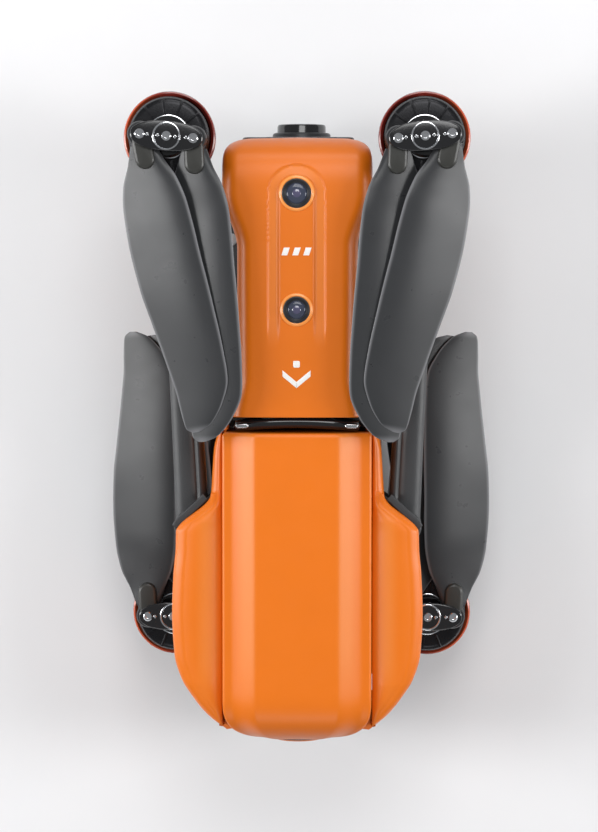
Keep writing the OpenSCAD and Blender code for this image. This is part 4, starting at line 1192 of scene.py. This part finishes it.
    def build(self) -> None:
        """Builds the bell, the hub and both blades."""
        low, high = corner(f"hub_{self.name}")
        bell_low = corner(f"stator_{self.name}")[0][2] + 1.5
        self.bell(bell_low, low[2])
        self.hub(low[2], high[2])
        boss_low = low[2] + 1.6 + 1.7 + 0.2
        for which, share, lean in (("outer", -1, self.leans[0]), ("inner", 1, self.leans[1])):
            self.blade(which, share, lean, (boss_low, boss_low + 5.2))


# ---------------------------------------------------------------- gimbal camera and other optics


@dataclass
class GimbalCamera:
    """Camera under the nose: drum, faceplate, lens barrel with its glass and filter ring."""

    half: float = 15.3
    low: Array = field(default_factory=lambda: corner("camera_body")[0])
    high: Array = field(default_factory=lambda: corner("camera_body")[1])

    def build(self) -> None:
        """Builds the housing as a drum across X with a face block, and the lens as turned rings."""
        lens_low, lens_high = corner("camera_lens")
        z_mid = (lens_low[2] + lens_high[2]) / 2
        r = z_mid - self.low[2]
        y_mid = self.low[1] + r
        centre, half = (0.0, y_mid, z_mid), self.half
        made = Surface()
        a = np.linspace(0, QUARTER, 7)
        side_in = [(r - 2.2 * (1 - math.sin(t)), 2.2 * (1 - math.cos(t))) for t in a]
        side_out = [(r - 2.2 * (1 - math.cos(t)), 2 * half - 2.2 * (1 - math.sin(t))) for t in a]
        made.lathe([(0, 0), (r - 5, 0), (r - 4.6, 0.5), (r - 4.2, 0), *side_in, *side_out, (r - 4.2, 2 * half),
                    (r - 4.6, 2 * half - 0.5), (r - 5, 2 * half), (0, 2 * half)], (-half, y_mid, z_mid),
                   Axis.RIGHT, 96)
        made.slab(round_box(half, 11.8, 3.4), 0, 14.2, 1.3, centre, Axis.NOSE)
        made.build("camera_housing", ALLOY, "camera", "camera_alloy", ["camera_body"])
        collar = Surface().lathe([(9.4, 13.0), (11.0, 13.0), (11.0, 15.6), (10.6, 16.2), (10.0, 16.4), (9.6, 16.2),
                                  (9.4, 15.6), (9.4, 13.0)], centre, Axis.NOSE, 96)
        collar.build("camera_collar", ALLOY, "camera", "camera_alloy")
        barrel = Surface().lathe([(0, 8.2), (9.25, 8.2), (9.25, 18.6), (8.9, 19.4), (8.3, 19.6), (7.9, 19.4),
                                  (7.6, 18.6), (6.6, 17.8), (6.5, 17.4), (5.4, 17.0), (5.3, 16.6), (4.4, 16.2),
                                  (0, 16.2)], centre, Axis.NOSE, 96)
        barrel.build("camera_barrel", GLOSS_BLACK, "camera", "black_gloss", ["camera_lens"])
        glass = Surface().lathe([(0, 16.0), (4.3, 16.0), *dome(4.3, 16.3, 1.5, 16)], centre, Axis.NOSE, 64)
        glass.build("camera_glass", LENS_BLUE, "camera", "lens_glass")


@dataclass
class SmallOptics:
    """Lenses in the front bar, the tail and the belly: a barrel and its glass at each."""

    lens_r: float = 3.6
    front_x: float = 13.0
    tail_x: float = 12.0
    tail_z: float = 26.0
    belly_y: tuple[float, float] = (0.0, -24.0)

    def one(self, made: tuple[Surface, Surface], at: Sequence[float], axis: Axis, r: float, proud: float) -> None:
        """Adds one lens to the shared surfaces.

        Args:
            made: surface of the barrels and surface of the glass.
            at: middle of the lens on the face that it sits in.
            axis: which way the lens looks.
            r: inner radius of the barrel.
            proud: how far the barrel stands out.
        """
        barrels, glass = made
        barrels.lathe([(0, -1.5), (r + 0.55, -1.5), (r + 0.55, proud - 0.15), (r + 0.3, proud), (r, proud - 0.1),
                       (r - 0.5, proud - 0.7), (r - 0.6, -0.2), (0, -0.2)], at, axis, 48)
        glass.lathe([(0, -0.4), (r - 0.6, -0.4), *dome(r - 0.6, -0.2, 0.7, 10)], at, axis, 40)

    def build(self) -> None:
        """Places a lens at each group of the CAD's small lenses."""
        made = (Surface(), Surface())
        bar_low, bar_high = corner("front_sensor_bar")
        z_bar = (bar_low[2] + bar_high[2]) / 2
        lenses_low = corner("vision_lenses")[0]
        for x in (-self.front_x, self.front_x):
            self.one(made, (x, bar_high[1] - 0.5, z_bar), Axis.NOSE, self.lens_r, 0.5)
        for x in (-self.tail_x, self.tail_x):
            self.one(made, (x, lenses_low[1] + 0.7, self.tail_z), Axis.TAIL, self.lens_r, 0.7)
        for y in self.belly_y:
            self.one(made, (0, y, lenses_low[2] + 0.4), Axis.DOWN, self.lens_r, 0.2)
        made[0].build("small_lens_barrels", GLOSS_BLACK, "airframe", "black_gloss", ["lens_bezels"])
        made[1].build("small_lens_glass", LENS_BLUE, "airframe", "lens_glass", ["vision_lenses"])
        bar = Surface().slab(round_box(20.4, 6.5, 3.0), 0, bar_high[1] - bar_low[1], 0.9,
                             (0, bar_low[1], z_bar), Axis.NOSE)
        bar.build("front_sensor_window", GLOSS_BLACK, "airframe", "black_gloss", ["front_sensor_bar"])


# ---------------------------------------------------------------- CAD nodes shown as they are, with eased edges


@dataclass
class EasedNodes:
    """CAD nodes whose shape is right: a merged copy of each is shown with its edges eased."""

    finishes: dict[str, tuple[Finish, float]]
    flat_to: float = 0.5
    sharp_from: float = 35.0
    bevel_from: float = 38.0

    def build(self, frame: dict) -> None:
        """Copies each node that no other piece stands for.
        """
        for name, node in frame["nodes"].items():
            finish, ease = self.finishes.get(name, (BLACK, 0.0))
            if node.hide_render:
                continue
            if not ease:
                node.data.materials.clear()
                node.data.materials.append(finish.material())
                continue
            mesh = node.data.copy()
            made = bmesh.new()
            made.from_mesh(mesh)
            bmesh.ops.remove_doubles(made, verts=made.verts, dist=2 * MERGE_MM * MM)
            bmesh.ops.dissolve_limit(made, angle_limit=math.radians(self.flat_to), verts=made.verts, edges=made.edges)
            made.to_mesh(mesh)
            made.free()
            mesh.materials.clear()
            mesh.materials.append(finish.material())
            mesh.shade_smooth()
            mesh.set_sharp_from_angle(angle=math.radians(self.sharp_from))
            piece = bpy.data.objects.new(f"{name}_eased", mesh)
            bpy.context.scene.collection.objects.link(piece)
            bevel = piece.modifiers.new("ease", "BEVEL")
            bevel.width = ease * MM
            bevel.segments = 2
            bevel.limit_method = "ANGLE"
            bevel.angle_limit = math.radians(self.bevel_from)
            bevel.harden_normals = True
            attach(piece, node["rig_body"])
            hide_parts(name)
            LOG.info("%s: eased by %.2f mm", name, ease)


CARRIED: dict[str, tuple[Finish, float]] = {
    "chassis": (BELLY_GREY, 0.35), "lower_shell": (BELLY_GREY, 0.35), "belly_feet": (RUBBER, 0.4),
    "arm_pins": (STEEL, 0.3), "case_screws": (STEEL, 0.15), "main_board": (GREEN_BOARD, 0.1),
    "esc_board": (GREEN_BOARD, 0.1), "heat_sink": (BARE_ALLOY, 0.12), "gps_antenna": (CERAMIC, 0.2),
    "fan_housing": (BLACK, 0.25), "fan_rotor": (BLACK, 0.1), "battery_socket": (BLACK, 0.25),
    "card_door": (BLACK, 0.25), "gimbal_mount": (BELLY_GREY, 0.4), "damper_balls": (RUBBER, 0.0),
    "gimbal_yaw_arm": (ALLOY, 0.5), "gimbal_roll_arm": (ALLOY, 0.5), "battery_cells": (FOIL, 0.8),
    "battery_board": (GREEN_BOARD, 0.1),
    **{f"stator_{end.value}_{side.word}": (COPPER, 0.12) for end in End for side in Side},
}


# ---------------------------------------------------------------- studio


@dataclass
class Studio:
    """Pale floor, soft lights and the camera, which looks down from above the nose's right side."""

    camera_at: tuple[float, float, float] = (28.0, 66.0, 1150.0)
    aim: tuple[float, float, float] = (0.0, 1.0, 60.0)
    lens: float = 128.0
    floor_half: float = 3000.0
    floor_drop: float = 0.2
    sky: float = 0.24
    sky_tint: tuple[float, float, float] = (0.95, 0.97, 1.0)

    def floor(self) -> None:
        """Lays a wide floor, z = 0."""
        mesh = bpy.data.meshes.new("floor")
        half, depth = self.floor_half * MM, self.floor_drop * MM
        corners = [(x * half, y * half, -depth) for x, y in ((-1, -1), (1, -1), (1, 1), (-1, 1))]
        mesh.from_pydata(corners, [], [(0, 1, 2, 3)])
        floor = bpy.data.objects.new("floor", mesh)
        bpy.context.scene.collection.objects.link(floor)
        paint = Finish("floor_paint", (0.72, 0.72, 0.73), 0.75, relief=0.02, mottle=0.01)
        mesh.materials.append(paint.material())

    def light(self, name: str, at: Sequence[float], size: Sequence[float], watts: float,
              aim: Sequence[float] = (0, 0, 60)) -> None:
        """Hangs one rectangular soft light that faces aim.

        Args:
            name: name of the light.
            at: place in millimetres.
            size: width and height in millimetres.
            watts: power.
            aim: point that it faces, in millimetres.
        """
        data = bpy.data.lights.new(name, "AREA")
        data.shape = "RECTANGLE"
        data.size, data.size_y = (v * MM for v in size)
        data.energy = watts
        lamp = bpy.data.objects.new(name, data)
        lamp.location = Vector(at) * MM
        lamp.rotation_mode = "QUATERNION"
        lamp.rotation_quaternion = (Vector(aim) - Vector(at)).to_track_quat("-Z", "Y")
        bpy.context.scene.collection.objects.link(lamp)

    def build(self) -> None:
        """Sets up the floor, the lights, the sky and the camera."""
        self.floor()
        for name, at, size, watts in (
                ("left_strip", (-800, 40, 470), (240, 1100), 8.8),
                ("right_strip", (840, 30, 450), (240, 1100), 7.8),
                ("tail", (-40, -760, 620), (500, 260), 1.0),
                ("front", (60, 820, 480), (500, 240), 1.8)):
            self.light(name, at, size, watts)
        self.light("above", (60, 520, 960), (460, 460), 3.0, (0, 60, 60))
        world = bpy.data.worlds.new("sky")
        bpy.context.scene.world = world
        world.use_nodes = True
        shine = world.node_tree.nodes["Background"].inputs
        shine["Color"].default_value = (*self.sky_tint, 1)
        shine["Strength"].default_value = self.sky
        data = bpy.data.cameras.new("camera")
        data.lens = self.lens
        camera = bpy.data.objects.new("camera", data)
        camera.location = Vector(self.camera_at) * MM
        look = (Vector(self.aim) - Vector(self.camera_at)).normalized()
        right = look.cross(Vector((0, 1, 0))).normalized()
        camera.rotation_mode = "QUATERNION"
        camera.rotation_quaternion = Matrix((right, right.cross(look), -look)).transposed().to_quaternion()
        bpy.context.scene.collection.objects.link(camera)
        bpy.context.scene.camera = camera
        bpy.context.scene.view_settings.view_transform = "Standard"


# ---------------------------------------------------------------- assembly


# Stowed turn of the hub, and leans of its outer and inner blade, in degrees.
STOWED: dict[End, tuple[float, tuple[float, float]]] = {
    End.REAR: (5.0, (11.0, 2.0)),
    End.FRONT: (0.0, (2.5, 9.0)),
}


def joint_places(frame: dict) -> dict[str, Array]:
    """X and Y of each hinge in millimetres, on the left side.


    Returns:
        Place of each joint that has one, with X made negative.
    """
    places = {j["name"]: np.array(j["pos_m"][:2]) / MM for j in frame["joints"] if "pos_m" in j}
    return {name: np.array([-abs(p[0]), p[1]]) for name, p in places.items()}


def main() -> None:
    """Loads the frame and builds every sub-assembly in order."""
    logging.basicConfig(level=logging.INFO, format="%(name)s: %(message)s")
    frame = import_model()
    places = joint_places(frame)
    Studio().build()
    NoseCover().build()
    SeamStrip().build()
    Battery().build()
    for side in Side:
        HipFairing(side).build()
        for end in End:
            hinge = places[f"{end.value}_arm_{side.word}_fold"]
            motor = places[f"rotor_{end.value}_{side.word}_spin"]
            Arm(end, side, hinge, motor).build()
            turn, leans = STOWED[end]
            Rotor(end, side, motor, hub_turn=turn, leans=leans).build()
    GimbalCamera().build()
    SmallOptics().build()
    EasedNodes(CARRIED).build(frame)


if __name__ == "__main__":
    main()
